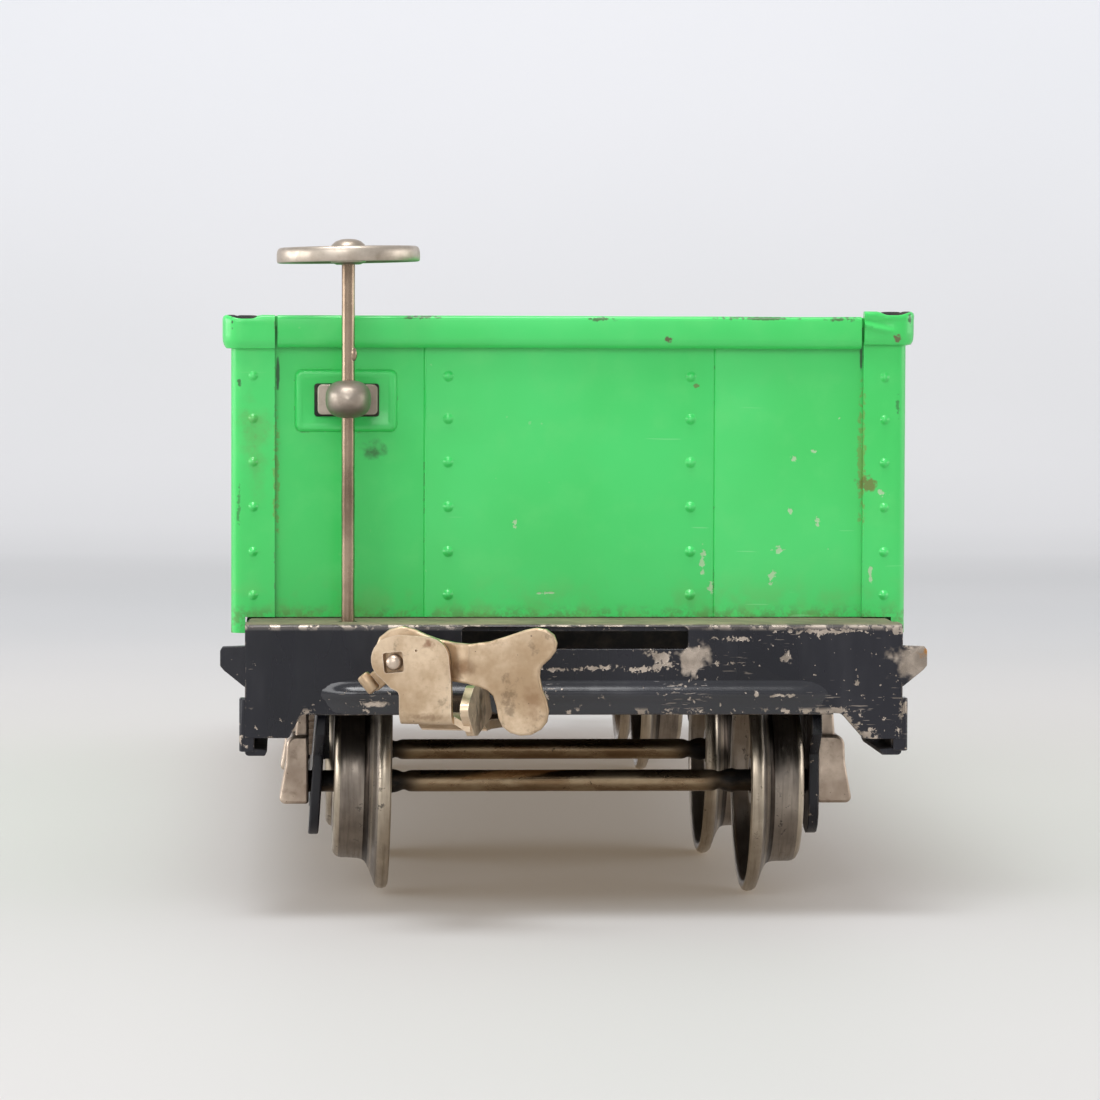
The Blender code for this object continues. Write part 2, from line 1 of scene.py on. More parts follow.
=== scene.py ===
"""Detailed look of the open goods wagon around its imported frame: enamelled tub with pressed
seams and rivets, chipped black underframe, worn nickel couplers, trucks and hand brake."""

import math

import bmesh
import bpy
from mathutils import Matrix, Vector, noise


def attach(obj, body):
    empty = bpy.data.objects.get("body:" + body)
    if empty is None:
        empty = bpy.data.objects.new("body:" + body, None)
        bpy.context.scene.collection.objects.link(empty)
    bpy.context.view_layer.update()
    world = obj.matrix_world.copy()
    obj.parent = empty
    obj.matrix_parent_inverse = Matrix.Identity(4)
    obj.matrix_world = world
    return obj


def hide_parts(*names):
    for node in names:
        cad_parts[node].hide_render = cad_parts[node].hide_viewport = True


MM = 0.001
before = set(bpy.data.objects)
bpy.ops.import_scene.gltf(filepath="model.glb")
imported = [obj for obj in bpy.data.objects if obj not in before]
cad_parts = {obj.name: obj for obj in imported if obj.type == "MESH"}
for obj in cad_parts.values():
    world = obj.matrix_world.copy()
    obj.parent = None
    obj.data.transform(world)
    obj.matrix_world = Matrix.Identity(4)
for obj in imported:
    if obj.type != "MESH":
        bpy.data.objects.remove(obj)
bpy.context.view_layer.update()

# Main dimensions in millimetres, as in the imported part.
FRAME_END_Y = 146.0
STAIN_DEPTH = 4.0
FRAME_HALF_W = 43.35
DECK_Z = 39.0
BODY_END_Y = 133.0
PANEL_Y = 131.9
WALL_X = 45.35
WALL_IN_X = 44.55
BODY_LOW_Z = 39.9
WALL_LOW_Z = 37.0
STRIP_X = 39.5
SEAM_X = 19.5
RIVET_X = 16.3
STRIP_RIVET_X = 42.4
RIVET_ZS = (71.4, 65.7, 59.9, 53.9, 47.9, 42.1)
STAFF = (-29.8, -140.0)
BRACKET_Z = 68.6
TRUCK_Y = 91.5
AXLE_Y = 24.5
AXLE_Z = 15.5
RIVET = (-6.7, 35.0)
HOOK_Y = -73.3
COUPLER_TURN = math.radians(-14.0)
WHEEL_BACK_X = 23.9


# ---------------- mesh helpers


def link(name, mesh, body):
    obj = bpy.data.objects.new(name, mesh)
    bpy.context.scene.collection.objects.link(obj)
    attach(obj, body)
    return obj


def mesh_from(name, bm, smooth=40.0):
    bmesh.ops.remove_doubles(bm, verts=bm.verts, dist=1e-7)
    bmesh.ops.recalc_face_normals(bm, faces=bm.faces)
    mesh = bpy.data.meshes.new(name)
    bm.to_mesh(mesh)
    bm.free()
    shade(mesh, smooth)
    return mesh


def shade(mesh, smooth):
    for face in mesh.polygons:
        face.use_smooth = smooth > 0
    if smooth > 0:
        mesh.set_sharp_from_angle(angle=math.radians(smooth))


def arc(cx, cy, radius, start, end, steps):
    points = []
    for i in range(steps + 1):
        a = math.radians(start + (end - start) * i / steps)
        points.append((cx + radius * math.cos(a), cy + radius * math.sin(a)))
    return points


def circle(steps):
    """Cosine and sine at even steps round one turn."""
    angles = [2 * math.pi * i / steps for i in range(steps)]
    return [(math.cos(a), math.sin(a)) for a in angles]


def rounded(points, radii, steps=4):
    """Outline with each corner replaced by an arc of its own radius."""
    out = []
    count = len(points)
    for i, (x, y) in enumerate(points):
        radius = radii[i] if isinstance(radii, (list, tuple)) else radii
        corner = Vector((x, y))
        before = (Vector(points[i - 1]) - corner).normalized()
        after = (Vector(points[(i + 1) % count]) - corner).normalized()
        half = before.angle(after) / 2
        if radius <= 0 or half > math.radians(88):
            out.append((x, y))
            continue
        reach = radius / math.tan(half)
        centre = corner + (before + after).normalized() * (radius / math.sin(half))
        start = corner + before * reach - centre
        finish = corner + after * reach - centre
        sweep = start.angle_signed(finish)
        for k in range(steps + 1):
            spoke = start.copy()
            spoke.rotate(Matrix.Rotation(-sweep * k / steps, 2))
            out.append(tuple(centre + spoke))
    return out


AXES = {
    "X": Matrix(((0, 0, 1), (1, 0, 0), (0, 1, 0))),
    "Y": Matrix(((1, 0, 0), (0, 0, 1), (0, 1, 0))),
    "Z": Matrix(((1, 0, 0), (0, 1, 0), (0, 0, 1))),
}


def bridge(bm, first, second):
    for i in range(len(first)):
        j = (i + 1) % len(first)
        bm.faces.new((first[i], first[j], second[j], second[i]))


def add_prism(bm, outline, span, normal):
    turn = AXES[normal]
    rings = [
        [bm.verts.new(turn @ Vector((u * MM, v * MM, d * MM))) for u, v in outline]
        for d in span
    ]
    for ring in rings:
        bm.faces.new(ring)
    bridge(bm, *rings)


def add_loft(bm, rings):
    """Capped skin through closed rings of points given in millimetres."""
    made = [[bm.verts.new(Vector(p) * MM) for p in ring] for ring in rings]
    for first, second in zip(made, made[1:]):
        bridge(bm, first, second)
    bm.faces.new(made[0])
    bm.faces.new(made[-1])


def add_lathe(bm, profile, axis, centre, steps=48, wobble=None):
    """Turned shape from a closed or axis-touching profile of (radius, position)."""
    cx, cy, cz = centre
    rings = []
    for radius, position in profile:
        ring = []
        for i in range(steps if radius > 0 else 1):
            a = 2 * math.pi * i / steps
            r = radius * (1 + (wobble(a, position) if wobble else 0.0))
            u, v = r * math.cos(a), r * math.sin(a)
            if axis == "X":
                p = (cx + position, cy + u, cz + v)
            elif axis == "Y":
                p = (cx + u, cy + position, cz + v)
            else:
                p = (cx + u, cy + v, cz + position)
            ring.append(bm.verts.new(Vector(p) * MM))
        rings.append(ring)
    for k in range(len(rings)):
        low, high = rings[k], rings[(k + 1) % len(rings)]
        if len(low) == 1 and len(high) == 1:
            continue
        for i in range(steps):
            j = (i + 1) % steps
            quad = [low[i % len(low)], low[j % len(low)]]
            quad += [high[j % len(high)], high[i % len(high)]]
            bm.faces.new(list(dict.fromkeys(quad)))


def add_dome(bm, centre, normal, radius, height, steps=14):
    """Soft pressed rivet: a dome with a flared foot that sinks into the sheet."""
    out = Vector(normal).normalized()
    side = out.orthogonal().normalized()
    other = out.cross(side)
    shape = ((1.35, -0.10), (1.12, 0.03), (0.92, 0.22), (0.70, 0.62), (0.38, 0.92))
    rings = []
    for r, h in shape:
        ring = []
        for c, s in circle(steps):
            p = Vector(centre) + out * (h * height) + (side * c + other * s) * (r * radius)
            ring.append(bm.verts.new(p * MM))
        rings.append(ring)
    for low, high in zip(rings, rings[1:]):
        bridge(bm, low, high)
    top = bm.verts.new((Vector(centre) + out * height) * MM)
    for i in range(steps):
        bm.faces.new((rings[-1][i], rings[-1][(i + 1) % steps], top))
    bm.faces.new(rings[0])


def bevelled(obj, width, segments=2, angle=35.0):
    edge = obj.modifiers.new("edges", "BEVEL")
    edge.width = width * MM
    edge.segments = segments
    edge.limit_method = "ANGLE"
    edge.angle_limit = math.radians(angle)
    edge.harden_normals = False
    edge.use_clamp_overlap = True
    return obj


def boolean(mesh_a, tools, operation="DIFFERENCE"):
    base = bpy.data.objects.new("base", mesh_a)
    bpy.context.scene.collection.objects.link(base)
    helpers = []
    for tool in tools:
        helper = bpy.data.objects.new("tool", tool)
        bpy.context.scene.collection.objects.link(helper)
        helpers.append(helper)
        step = base.modifiers.new("step", "BOOLEAN")
        step.operation = operation
        step.solver = "EXACT"
        step.object = helper
    bpy.context.view_layer.update()
    graph = bpy.context.evaluated_depsgraph_get()
    result = bpy.data.meshes.new_from_object(base.evaluated_get(graph))
    for obj in [base, *helpers]:
        bpy.data.objects.remove(obj, do_unlink=True)
    return result


def prism_mesh(outline, span, normal):
    bm = bmesh.new()
    add_prism(bm, outline, span, normal)
    return mesh_from("prism", bm, 0)


def refined(node, name, body, bevel=0.15, segments=2, smooth=35.0, move=None):
    """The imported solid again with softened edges, standing for its node."""
    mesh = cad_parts[node].data.copy()
    mesh.name = name
    bm = bmesh.new()
    bm.from_mesh(mesh)
    bmesh.ops.remove_doubles(bm, verts=bm.verts, dist=2e-6)
    limit = math.radians(1.0)
    bmesh.ops.dissolve_limit(bm, angle_limit=limit, verts=bm.verts, edges=bm.edges)
    if move:
        for vert in bm.verts:
            vert.co = Vector(move(vert.co / MM)) * MM
    bmesh.ops.recalc_face_normals(bm, faces=bm.faces)
    bm.to_mesh(mesh)
    bm.free()
    mesh.materials.clear()
    shade(mesh, smooth)
    obj = link(name, mesh, body)
    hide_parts(node)
    if bevel:
        bevelled(obj, bevel, segments)
    return obj


# ---------------- shader helpers


class Finish:
    """A procedural Principled material built from object coordinates."""

    def __init__(self, name):
        self.material = bpy.data.materials.new(name)
        self.material.use_nodes = True
        self.nodes = self.material.node_tree.nodes
        self.links = self.material.node_tree.links
        self.shader = self.nodes["Principled BSDF"]
        self.place = self.add("TexCoord").outputs["Object"]

    def plug(self, value, socket):
        if isinstance(value, bpy.types.NodeSocket):
            self.links.new(value, socket)
        else:
            socket.default_value = value

    def add(self, kind, inputs=(), **settings):
        """New shader node with its settings, and its inputs as values or links."""
        node = self.nodes.new("ShaderNode" + kind)
        for name, value in settings.items():
            setattr(node, name, value)
        for socket, value in dict(inputs).items():
            self.plug(value, node.inputs[socket])
        return node

    def stretch(self, scale, turn=(0.0, 0.0, 0.0)):
        node = self.add("Mapping", {"Vector": self.place, "Scale": scale, "Rotation": turn})
        return node.outputs["Vector"]

    def noise(self, scale, detail=4.0, rough=0.55, vector=None):
        place = vector or self.place
        inputs = {"Vector": place, "Scale": scale, "Detail": detail, "Roughness": rough}
        return self.add("TexNoise", inputs).outputs["Fac"]

    def ramp(self, value, low, high, first=0.0, last=1.0):
        inputs = {"Value": value, "From Min": low, "From Max": high, "To Min": first, "To Max": last}
        node = self.add("MapRange", inputs, interpolation_type="SMOOTHSTEP", clamp=True)
        return node.outputs["Result"]

    def math(self, operation, a, b, clamp=False):
        return self.add("Math", {0: a, 1: b}, operation=operation, use_clamp=clamp).outputs[0]

    def times(self, a, b):
        return self.math("MULTIPLY", a, b)

    def plus(self, a, b):
        return self.math("ADD", a, b)

    def minus(self, a, b, clamp=False):
        return self.math("SUBTRACT", a, b, clamp)

    def most(self, a, b):
        return self.math("MAXIMUM", a, b)

    def mix(self, factor, a, b):
        node = self.add("Mix", {"Factor": factor}, data_type="RGBA")
        colours = [s for s in node.inputs if s.type == "RGBA"]
        self.plug(a, colours[0])
        self.plug(b, colours[1])
        return [s for s in node.outputs if s.type == "RGBA"][0]

    def axis(self, name):
        return self.add("SeparateXYZ", {0: self.place}).outputs[name]

    def normal(self):
        return self.add("NewGeometry").outputs["Normal"]

    def facing(self, name):
        return self.add("SeparateXYZ", {0: self.normal()}).outputs[name]

    def vector(self, operation, inputs, output=0):
        return self.add("VectorMath", inputs, operation=operation).outputs[output]

    def edges(self, radius, low=0.03, high=0.25):
        """Mask of convex and concave edges within a radius in millimetres."""
        soft = self.add("Bevel", {"Radius": radius * MM}, samples=4).outputs[0]
        alike = self.vector("DOT_PRODUCT", {0: soft, 1: self.normal()}, "Value")
        return self.ramp(self.minus(1.0, alike), low, high)

    def spot(self, centre, size, warp=0.35, soft=0.45):
        """Ragged patch around a point, sizes in millimetres."""
        away = self.vector("SUBTRACT", {0: self.place, 1: [c * MM for c in centre]})
        scaled = self.vector("MULTIPLY", {0: away, 1: [1.0 / (s * MM) for s in size]})
        ragged = self.noise(900.0 / max(0.6, min(size)), 3.0)
        ragged = self.ramp(ragged, 0.3, 0.7, -warp, warp)
        reach = self.plus(self.vector("LENGTH", {0: scaled}, "Value"), ragged)
        return self.ramp(reach, 1.0, 1.0 - soft)

    def bump(self, height, strength, distance, normal=None):
        inputs = {"Height": height, "Strength": strength, "Distance": distance * MM}
        if normal is not None:
            inputs["Normal"] = normal
        return self.add("Bump", inputs).outputs["Normal"]

    def done(self, colour, roughness, metallic=0.0, normal=None, coat=0.0):
        inputs = {"Base Color": colour, "Roughness": roughness, "Metallic": metallic}
        if normal is not None:
            inputs["Normal"] = normal
        if coat:
            inputs.update({"Coat Weight": coat, "Coat Roughness": 0.09})
        for socket, value in inputs.items():
            self.plug(value, self.shader.inputs[socket])
        return self.material


def rgb(r, g, b):
    """Linear colour from an sRGB one in 0..255."""
    linear = []
    for c in (r, g, b):
        c /= 255.0
        linear.append(c / 12.92 if c <= 0.04045 else ((c + 0.055) / 1.055) ** 2.4)
    return (*linear, 1.0)


# ---------------- finishes


def green_enamel():
    f = Finish("green_enamel")
    broad = f.noise(26.0, 3.0)
    mottle = f.noise(230.0, 4.0)
    colour = f.mix(f.ramp(broad, 0.35, 0.65), rgb(58, 209, 96), rgb(68, 219, 109))
    colour = f.mix(f.ramp(mottle, 0.45, 0.8, 0.0, 0.25), colour, rgb(96, 222, 116))
    z = f.axis("Z")
    x = f.axis("X")
    grain = f.noise(620.0, 5.0, 0.7)
    low = f.times(f.ramp(z, 0.0412, 0.0392), f.ramp(grain, 0.42, 0.62))
    low = f.times(low, f.ramp(f.facing("Z"), 0.8, 0.4, 0.2, 1.0))
    colour = f.mix(f.times(low, 0.5), colour, rgb(92, 92, 40))
    haze = f.times(f.ramp(z, 0.046, 0.0392), f.ramp(mottle, 0.4, 0.65, 0.0, 0.3))
    colour = f.mix(haze, colour, rgb(112, 150, 70))
    stains_and_shade = (
        (-26.3, -132.0, 61.6, 2.1, 1.5, 0.8, (40, 78, 34)),
        (-42.3, -133.0, 64.5, 3.0, 5.6, 0.42, (112, 124, 44)),
        (-42.0, -133.0, 60.0, 2.0, 6.6, 0.22, (108, 140, 60)),
        (-45.2, -134.0, 78.5, 0.14, 0.8, 0.85, (40, 60, 30)),
        (40.1, -132.5, 57.2, 1.2, 1.0, 0.75, (116, 84, 30)),
        (39.4, -132.5, 60.0, 0.5, 9.0, 0.55, (128, 140, 52)),
        (-39.3, -132.5, 58.0, 0.45, 8.0, 0.5, (120, 136, 44)),
        (13.2, -134.0, 76.5, 0.55, 0.42, 0.9, (92, 64, 44)),
        # The next four thin dark lines along the rim's top edge are painted shade of the lip's back side.
        (4.2, -134.0, 79.1, 1.6, 0.3, 0.8, (60, 66, 34)),
        (-20.0, -134.0, 79.3, 2.4, 0.25, 0.8, (60, 66, 34)),
        (25.0, -134.0, 79.3, 5.0, 0.25, 0.8, (60, 66, 34)),
        (36.5, -134.0, 79.2, 2.2, 0.3, 0.8, (60, 66, 34)),
        (44.0, -134.5, 76.6, 0.6, 0.6, 0.9, (104, 84, 60)),
        (45.6, -134.0, 79.3, 0.3, 0.7, 0.8, (40, 56, 30)),
        (17.0, -132.0, 70.2, 0.6, 0.25, 0.7, (110, 90, 50)),
        (-44.2, -133.0, 70.6, 0.3, 0.5, 0.8, (40, 70, 34)),
        (-44.3, -133.0, 54.0, 0.25, 2.6, 0.6, (44, 84, 40)),
        (44.2, -133.0, 67.5, 0.25, 1.6, 0.6, (40, 80, 40)),
    )
    for *centre, across, up, amount, tint in stains_and_shade:
        wide = min(across, up) > 1.4
        size = (across, STAIN_DEPTH, up)
        patch = f.spot(centre, size, 0.3 if wide else 0.6, 0.98 if wide else 0.6)
        if wide:
            patch = f.times(patch, f.ramp(grain, 0.4, 0.6, 0.5, 1.0))
        colour = f.mix(f.times(patch, amount), colour, rgb(*tint))
    # Dark narrow marks beside the corner strips' edges: painted shadow of a gap where a strip's edge
    # stands away from the panel.
    slot_shadows = ((-39.12, -132.0, 71.6, 0.3, 2.6), (39.3, -132.0, 74.0, 0.24, 2.0))
    for *centre, across, up in slot_shadows:
        patch = f.spot(centre, (across, STAIN_DEPTH, up), 0.12)
        colour = f.mix(f.times(patch, 0.85), colour, rgb(16, 46, 20))
    chips = (
        (27.4, -132, 44.4, 0.8, 0.9), (28.2, -132, 48.2, 0.9, 0.5), (29.8, -132, 53.4, 0.5, 0.6),
        (33.6, -132, 52.0, 0.4, 0.9), (18.0, -132, 46.4, 0.45, 2.2), (19.2, -132, 43.1, 0.6, 0.8),
        (-2.6, -132, 42.3, 1.9, 0.22), (-7.3, -132, 51.8, 0.35, 0.8), (33.1, -132, 61.4, 0.5, 0.35),
        (30.2, -132, 60.4, 0.45, 0.4), (42.3, -133, 55.9, 1.0, 0.5), (40.6, -133, 45.1, 0.35, 1.3),
    )
    marks = 0.0
    for *centre, across, up in chips:
        patch = f.spot(centre, [0.8 * extent for extent in (across, STAIN_DEPTH, up)], 0.7)
        marks = f.most(marks, patch)
    flecks = f.ramp(f.noise(760.0, 2.0, 0.5), 0.745, 0.765)
    sparse = f.ramp(f.noise(64.0, 2.0), 0.5, 0.62)
    side = f.ramp(x, -0.010, 0.030, 0.25, 1.0)
    flecks = f.times(f.times(flecks, sparse), side)
    marks = f.most(marks, flecks)
    colour = f.mix(f.times(marks, 0.72), colour, rgb(190, 208, 172))
    lines = f.noise(1.0, 1.0, 0.5, f.stretch((90.0, 90.0, 1500.0), (0.0, 0.5, 0.0)))
    scratch = f.times(f.ramp(lines, 0.735, 0.75), f.ramp(broad, 0.48, 0.6))
    colour = f.mix(f.times(scratch, 0.35), colour, rgb(150, 226, 160))
    worn = f.edges(0.35, 0.05, 0.3)
    chip = f.times(worn, f.ramp(f.noise(430.0, 5.0, 0.7), 0.56, 0.62))
    colour = f.mix(f.times(chip, 0.9), colour, rgb(84, 74, 62))
    rough = f.ramp(mottle, 0.3, 0.8, 0.28, 0.42)
    rough = f.plus(rough, f.times(low, 0.3))
    normal = f.bump(f.noise(34.0, 2.0), 0.35, 0.55)
    normal = f.bump(f.noise(900.0, 3.0), 0.10, 0.06, normal)
    normal = f.bump(f.minus(1.0, marks), 0.5, 0.05, normal)
    f.shader.inputs["Specular IOR Level"].default_value = 0.6
    return f.done(colour, rough, 0.0, normal, 0.3)


def black_enamel(name="black_enamel", dusty=True, chips=1.0, gloss=False):
    f = Finish(name)
    z = f.axis("Z")
    x = f.axis("X")
    broad = f.noise(40.0, 3.0)
    colour = f.mix(f.ramp(broad, 0.3, 0.7), rgb(16, 17, 24), rgb(30, 30, 38))
    smear = f.noise(1.0, 3.0, 0.6, f.stretch((160.0, 160.0, 40.0)))
    colour = f.mix(f.ramp(smear, 0.5, 0.8, 0.0, 0.35), colour, rgb(66, 64, 68))
    bare = f.mix(f.ramp(f.noise(300.0, 4.0), 0.35, 0.65), rgb(150, 138, 126), rgb(196, 182, 168))
    fine = f.noise(520.0, 5.0, 0.65)
    patchy = f.noise(95.0, 3.0)
    right = f.ramp(x, -0.012, 0.020, 0.0, 1.0)
    gate = f.plus(f.times(right, 0.04), f.ramp(patchy, 0.45, 0.7, 0.0, 0.06))
    gate = f.times(gate, chips)
    specks = f.ramp(f.plus(fine, gate), 0.705, 0.73)
    worn = f.edges(0.34, 0.03, 0.25)
    rubbed = f.times(worn, f.ramp(f.plus(fine, gate), 0.54, 0.6))
    marks = f.most(specks, rubbed)
    dots = f.noise(1500.0, 2.0, 0.5)
    marks = f.most(marks, f.ramp(f.plus(dots, gate), 0.745, 0.77, 0.0, 0.8))
    for turn, limit in ((0.35, 0.735), (-0.6, 0.74), (1.0, 0.735)) if dusty else ():
        lines = f.noise(1.0, 2.0, 0.5, f.stretch((260.0, 260.0, 2600.0), (0.0, turn, 0.0)))
        lines = f.ramp(f.plus(lines, gate), limit, limit + 0.03, 0.0, 0.4)
        marks = f.most(marks, f.times(lines, f.ramp(patchy, 0.5, 0.6)))
    if dusty:
        rim = f.times(f.ramp(z, 0.0380, 0.0387), f.ramp(f.axis("Y"), -0.1452, -0.1456))
        rim = f.times(rim, f.ramp(f.plus(fine, gate), 0.51, 0.58, 0.15, 0.75))
        marks = f.most(marks, rim)
        hem = f.times(f.ramp(z, 0.0281, 0.0275), f.ramp(f.axis("Y"), -0.1450, -0.1456))
        hem = f.times(hem, f.ramp(f.plus(fine, gate), 0.62, 0.65))
        marks = f.most(marks, hem)
        flakes = (
            (15.6, 34.6, 2.0, 2.6, 0.4), (11.2, 34.6, 1.6, 1.1, 0.7), (27.8, 34.5, 0.7, 0.9, 0.5),
            (46.0, 34.0, 4.6, 3.6, 0.3), (43.9, 36.6, 0.8, 1.6, 0.6), (-3.0, 33.0, 2.4, 0.24, 0.9),
            (9.0, 33.0, 2.6, 0.35, 0.95), (21.0, 37.0, 2.6, 0.3, 0.9), (33.0, 38.0, 5.0, 0.28, 0.8),
            (35.0, 27.6, 1.6, 0.4, 0.7), (-26.6, 28.5, 2.3, 0.42, 0.3), (38.4, 24.4, 1.6, 0.3, 0.5),
            (42.6, 38.2, 1.3, 0.5, 0.6), (3.0, 33.2, 2.6, 0.3, 0.9), (23.8, 29.9, 0.35, 0.8, 0.4),
            (27.0, 29.6, 2.0, 0.25, 0.6),
        )
        for u, v, across, up, warp in flakes:
            marks = f.most(marks, f.spot((u, -FRAME_END_Y, v), (across, 2.0, up), warp))
        bare = f.mix(f.spot((48.0, -146, 35.0), (2.6, 2.0, 1.6), 0.4), bare, rgb(176, 128, 78))
    colour = f.mix(marks, colour, bare)
    rough = f.ramp(smear, 0.4, 0.8, 0.18 if gloss else 0.26, 0.34 if gloss else 0.5)
    metallic = f.times(marks, 0.75)
    if dusty:
        level = f.times(f.ramp(f.facing("Z"), 0.8, 0.98), f.ramp(z, 0.0386, 0.0389))
        dust = f.times(level, f.ramp(fine, 0.25, 0.6, 0.6, 0.95))
        tan = f.mix(f.ramp(patchy, 0.3, 0.7), rgb(152, 143, 114), rgb(118, 112, 90))
        colour = f.mix(dust, colour, tan)
        rough = f.plus(rough, f.times(dust, 0.5))
    normal = f.bump(f.noise(60.0, 2.0), 0.3, 0.4)
    normal = f.bump(f.noise(800.0, 3.0), 0.12, 0.05, normal)
    normal = f.bump(f.minus(1.0, marks), 0.7, 0.06, normal)
    f.shader.inputs["Specular IOR Level"].default_value = 0.75 if gloss else 0.4
    return f.done(colour, rough, metallic, normal)


def nickel(
    name, bright, dark, rough_low, rough_high, speck=0.7, stretch=(1.0, 1.0, 1.0), dirt_and_shade=0.5,
    ring=False, stains_and_shade=(),
):
    """Worn nickel plate: warm tarnished clouds, fine pits and rubbed edges, plus listed stained patches,
    some of them painted shade, and optional painted shade on downward faces and round the brake dome.
    """
    f = Finish(name)
    cloud = f.noise(110.0, 4.0, 0.6)
    grain = f.noise(700.0, 4.0, 0.7, f.stretch(stretch))
    colour = f.mix(f.ramp(cloud, 0.32, 0.68), dark, bright)
    colour = f.mix(f.ramp(grain, 0.4, 0.75, 0.0, 0.35), colour, dark)
    pits = f.ramp(f.noise(1500.0, 3.0, 0.6), speck, speck + 0.04)
    blots = f.times(f.ramp(f.noise(330.0, 4.0, 0.7), 0.56, 0.7), dirt_and_shade)
    colour = f.mix(blots, colour, rgb(92, 72, 50))
    colour = f.mix(f.times(pits, 0.8), colour, rgb(62, 48, 36))
    shiny = f.edges(0.3, 0.03, 0.25)
    colour = f.mix(f.times(shiny, 0.45), colour, rgb(232, 222, 208))
    rough = f.ramp(grain, 0.3, 0.7, rough_low, rough_high)
    metallic = f.minus(1.0, f.times(f.most(pits, blots), 0.5))
    for centre, size, amount, tint in stains_and_shade:
        patch = f.times(f.spot(centre, size, 0.3, 0.9), amount)
        colour = f.mix(patch, colour, tint)
    # Low blot levels also switch on painted shade: downward faces are darkened and made less metallic.
    if dirt_and_shade < 0.2:
        underside_shade = f.ramp(f.facing("Z"), -0.15, -0.75)
        colour = f.mix(f.times(underside_shade, 0.85), colour, rgb(78, 68, 56))
        metallic = f.minus(metallic, f.times(underside_shade, 0.8), True)
    # Round the brake dome, everything outside its centre is darkened and made less metallic: painted
    # shade on the dome's sides and lower part.
    if ring:
        core = f.spot((*STAFF, BRACKET_Z), (3.4, 60.0, 2.9), 0.04, 0.6)
        dome_side_shade = f.minus(1.0, core)
        plate = f.ramp(f.axis("Y"), -0.1345, -0.1338)
        dome_side_shade = f.times(dome_side_shade, f.minus(1.0, plate))
        colour = f.mix(f.times(dome_side_shade, 0.7), colour, rgb(88, 80, 66))
        metallic = f.minus(metallic, f.times(dome_side_shade, 0.6), True)
    normal = f.bump(f.noise(260.0, 3.0), 0.25, 0.12)
    normal = f.bump(grain, 0.18, 0.03, normal)
    return f.done(colour, rough, metallic, normal)


def wheel_steel(name, low, high, shade_tint):
    f = Finish(name)
    cloud = f.noise(95.0, 4.0, 0.65)
    grain = f.noise(1.0, 4.0, 0.65, f.stretch((2600.0, 160.0, 160.0)))
    colour = f.mix(f.ramp(cloud, 0.3, 0.7), low, high)
    colour = f.mix(f.ramp(grain, 0.45, 0.75, 0.0, 0.4), colour, shade_tint)
    worn = f.edges(0.55, 0.02, 0.16)
    colour = f.mix(f.times(worn, 0.6), colour, rgb(206, 192, 170))
    pits = f.ramp(f.noise(760.0, 4.0, 0.75), 0.60, 0.64)
    pits = f.times(pits, f.ramp(f.noise(150.0, 3.0), 0.4, 0.6, 0.25, 1.0))
    colour = f.mix(f.times(pits, 0.75), colour, rgb(40, 34, 30))
    rough = f.ramp(grain, 0.3, 0.75, 0.28, 0.46)
    normal = f.bump(grain, 0.16, 0.03)
    normal = f.bump(f.noise(500.0, 3.0), 0.12, 0.05, normal)
    return f.done(colour, rough, f.minus(1.0, f.times(pits, 0.6)), normal)


def axle_steel():
    f = Finish("axle_steel")
    cloud = f.noise(1.0, 4.0, 0.6, f.stretch((120.0, 260.0, 260.0)))
    colour = f.mix(f.ramp(cloud, 0.35, 0.65), rgb(128, 104, 78), rgb(170, 150, 122))
    specks = f.ramp(f.noise(900.0, 4.0, 0.7), 0.66, 0.71)
    colour = f.mix(f.times(specks, 0.8), colour, rgb(50, 38, 28))
    across = f.math("ABSOLUTE", f.axis("X"), 0.0)
    hub = f.times(f.ramp(across, 0.0185, 0.0228), f.ramp(cloud, 0.25, 0.55, 0.5, 1.0))
    colour = f.mix(hub, colour, rgb(20, 18, 17))
    rough = f.plus(f.ramp(cloud, 0.3, 0.7, 0.2, 0.36), f.times(hub, 0.3))
    normal = f.bump(f.noise(700.0, 3.0), 0.2, 0.05)
    metallic = f.minus(1.0, f.times(hub, 0.5))
    return f.done(colour, rough, metallic, normal)


# Dark material laid where there is only shade: painted shade in the open folds of the corner caps, within
# the frame, on the bolsters and round the brake bracket plate.
def painted_shade_finish():
    f = Finish("painted_shade_dark")
    colour = f.mix(f.ramp(f.noise(500.0, 4.0), 0.4, 0.7), rgb(14, 13, 13), rgb(52, 44, 36))
    return f.done(colour, 0.7, 0.0, f.bump(f.noise(900.0, 3.0), 0.2, 0.05))


def hook_point(u, y, v):
    """Object coordinates of a point given from the hook rivet of coupler a."""
    x, c, s = RIVET[0] + u, math.cos(COUPLER_TURN), math.sin(COUPLER_TURN)
    return (c * x - s * y, s * x + c * y - TRUCK_Y, RIVET[1] + v)


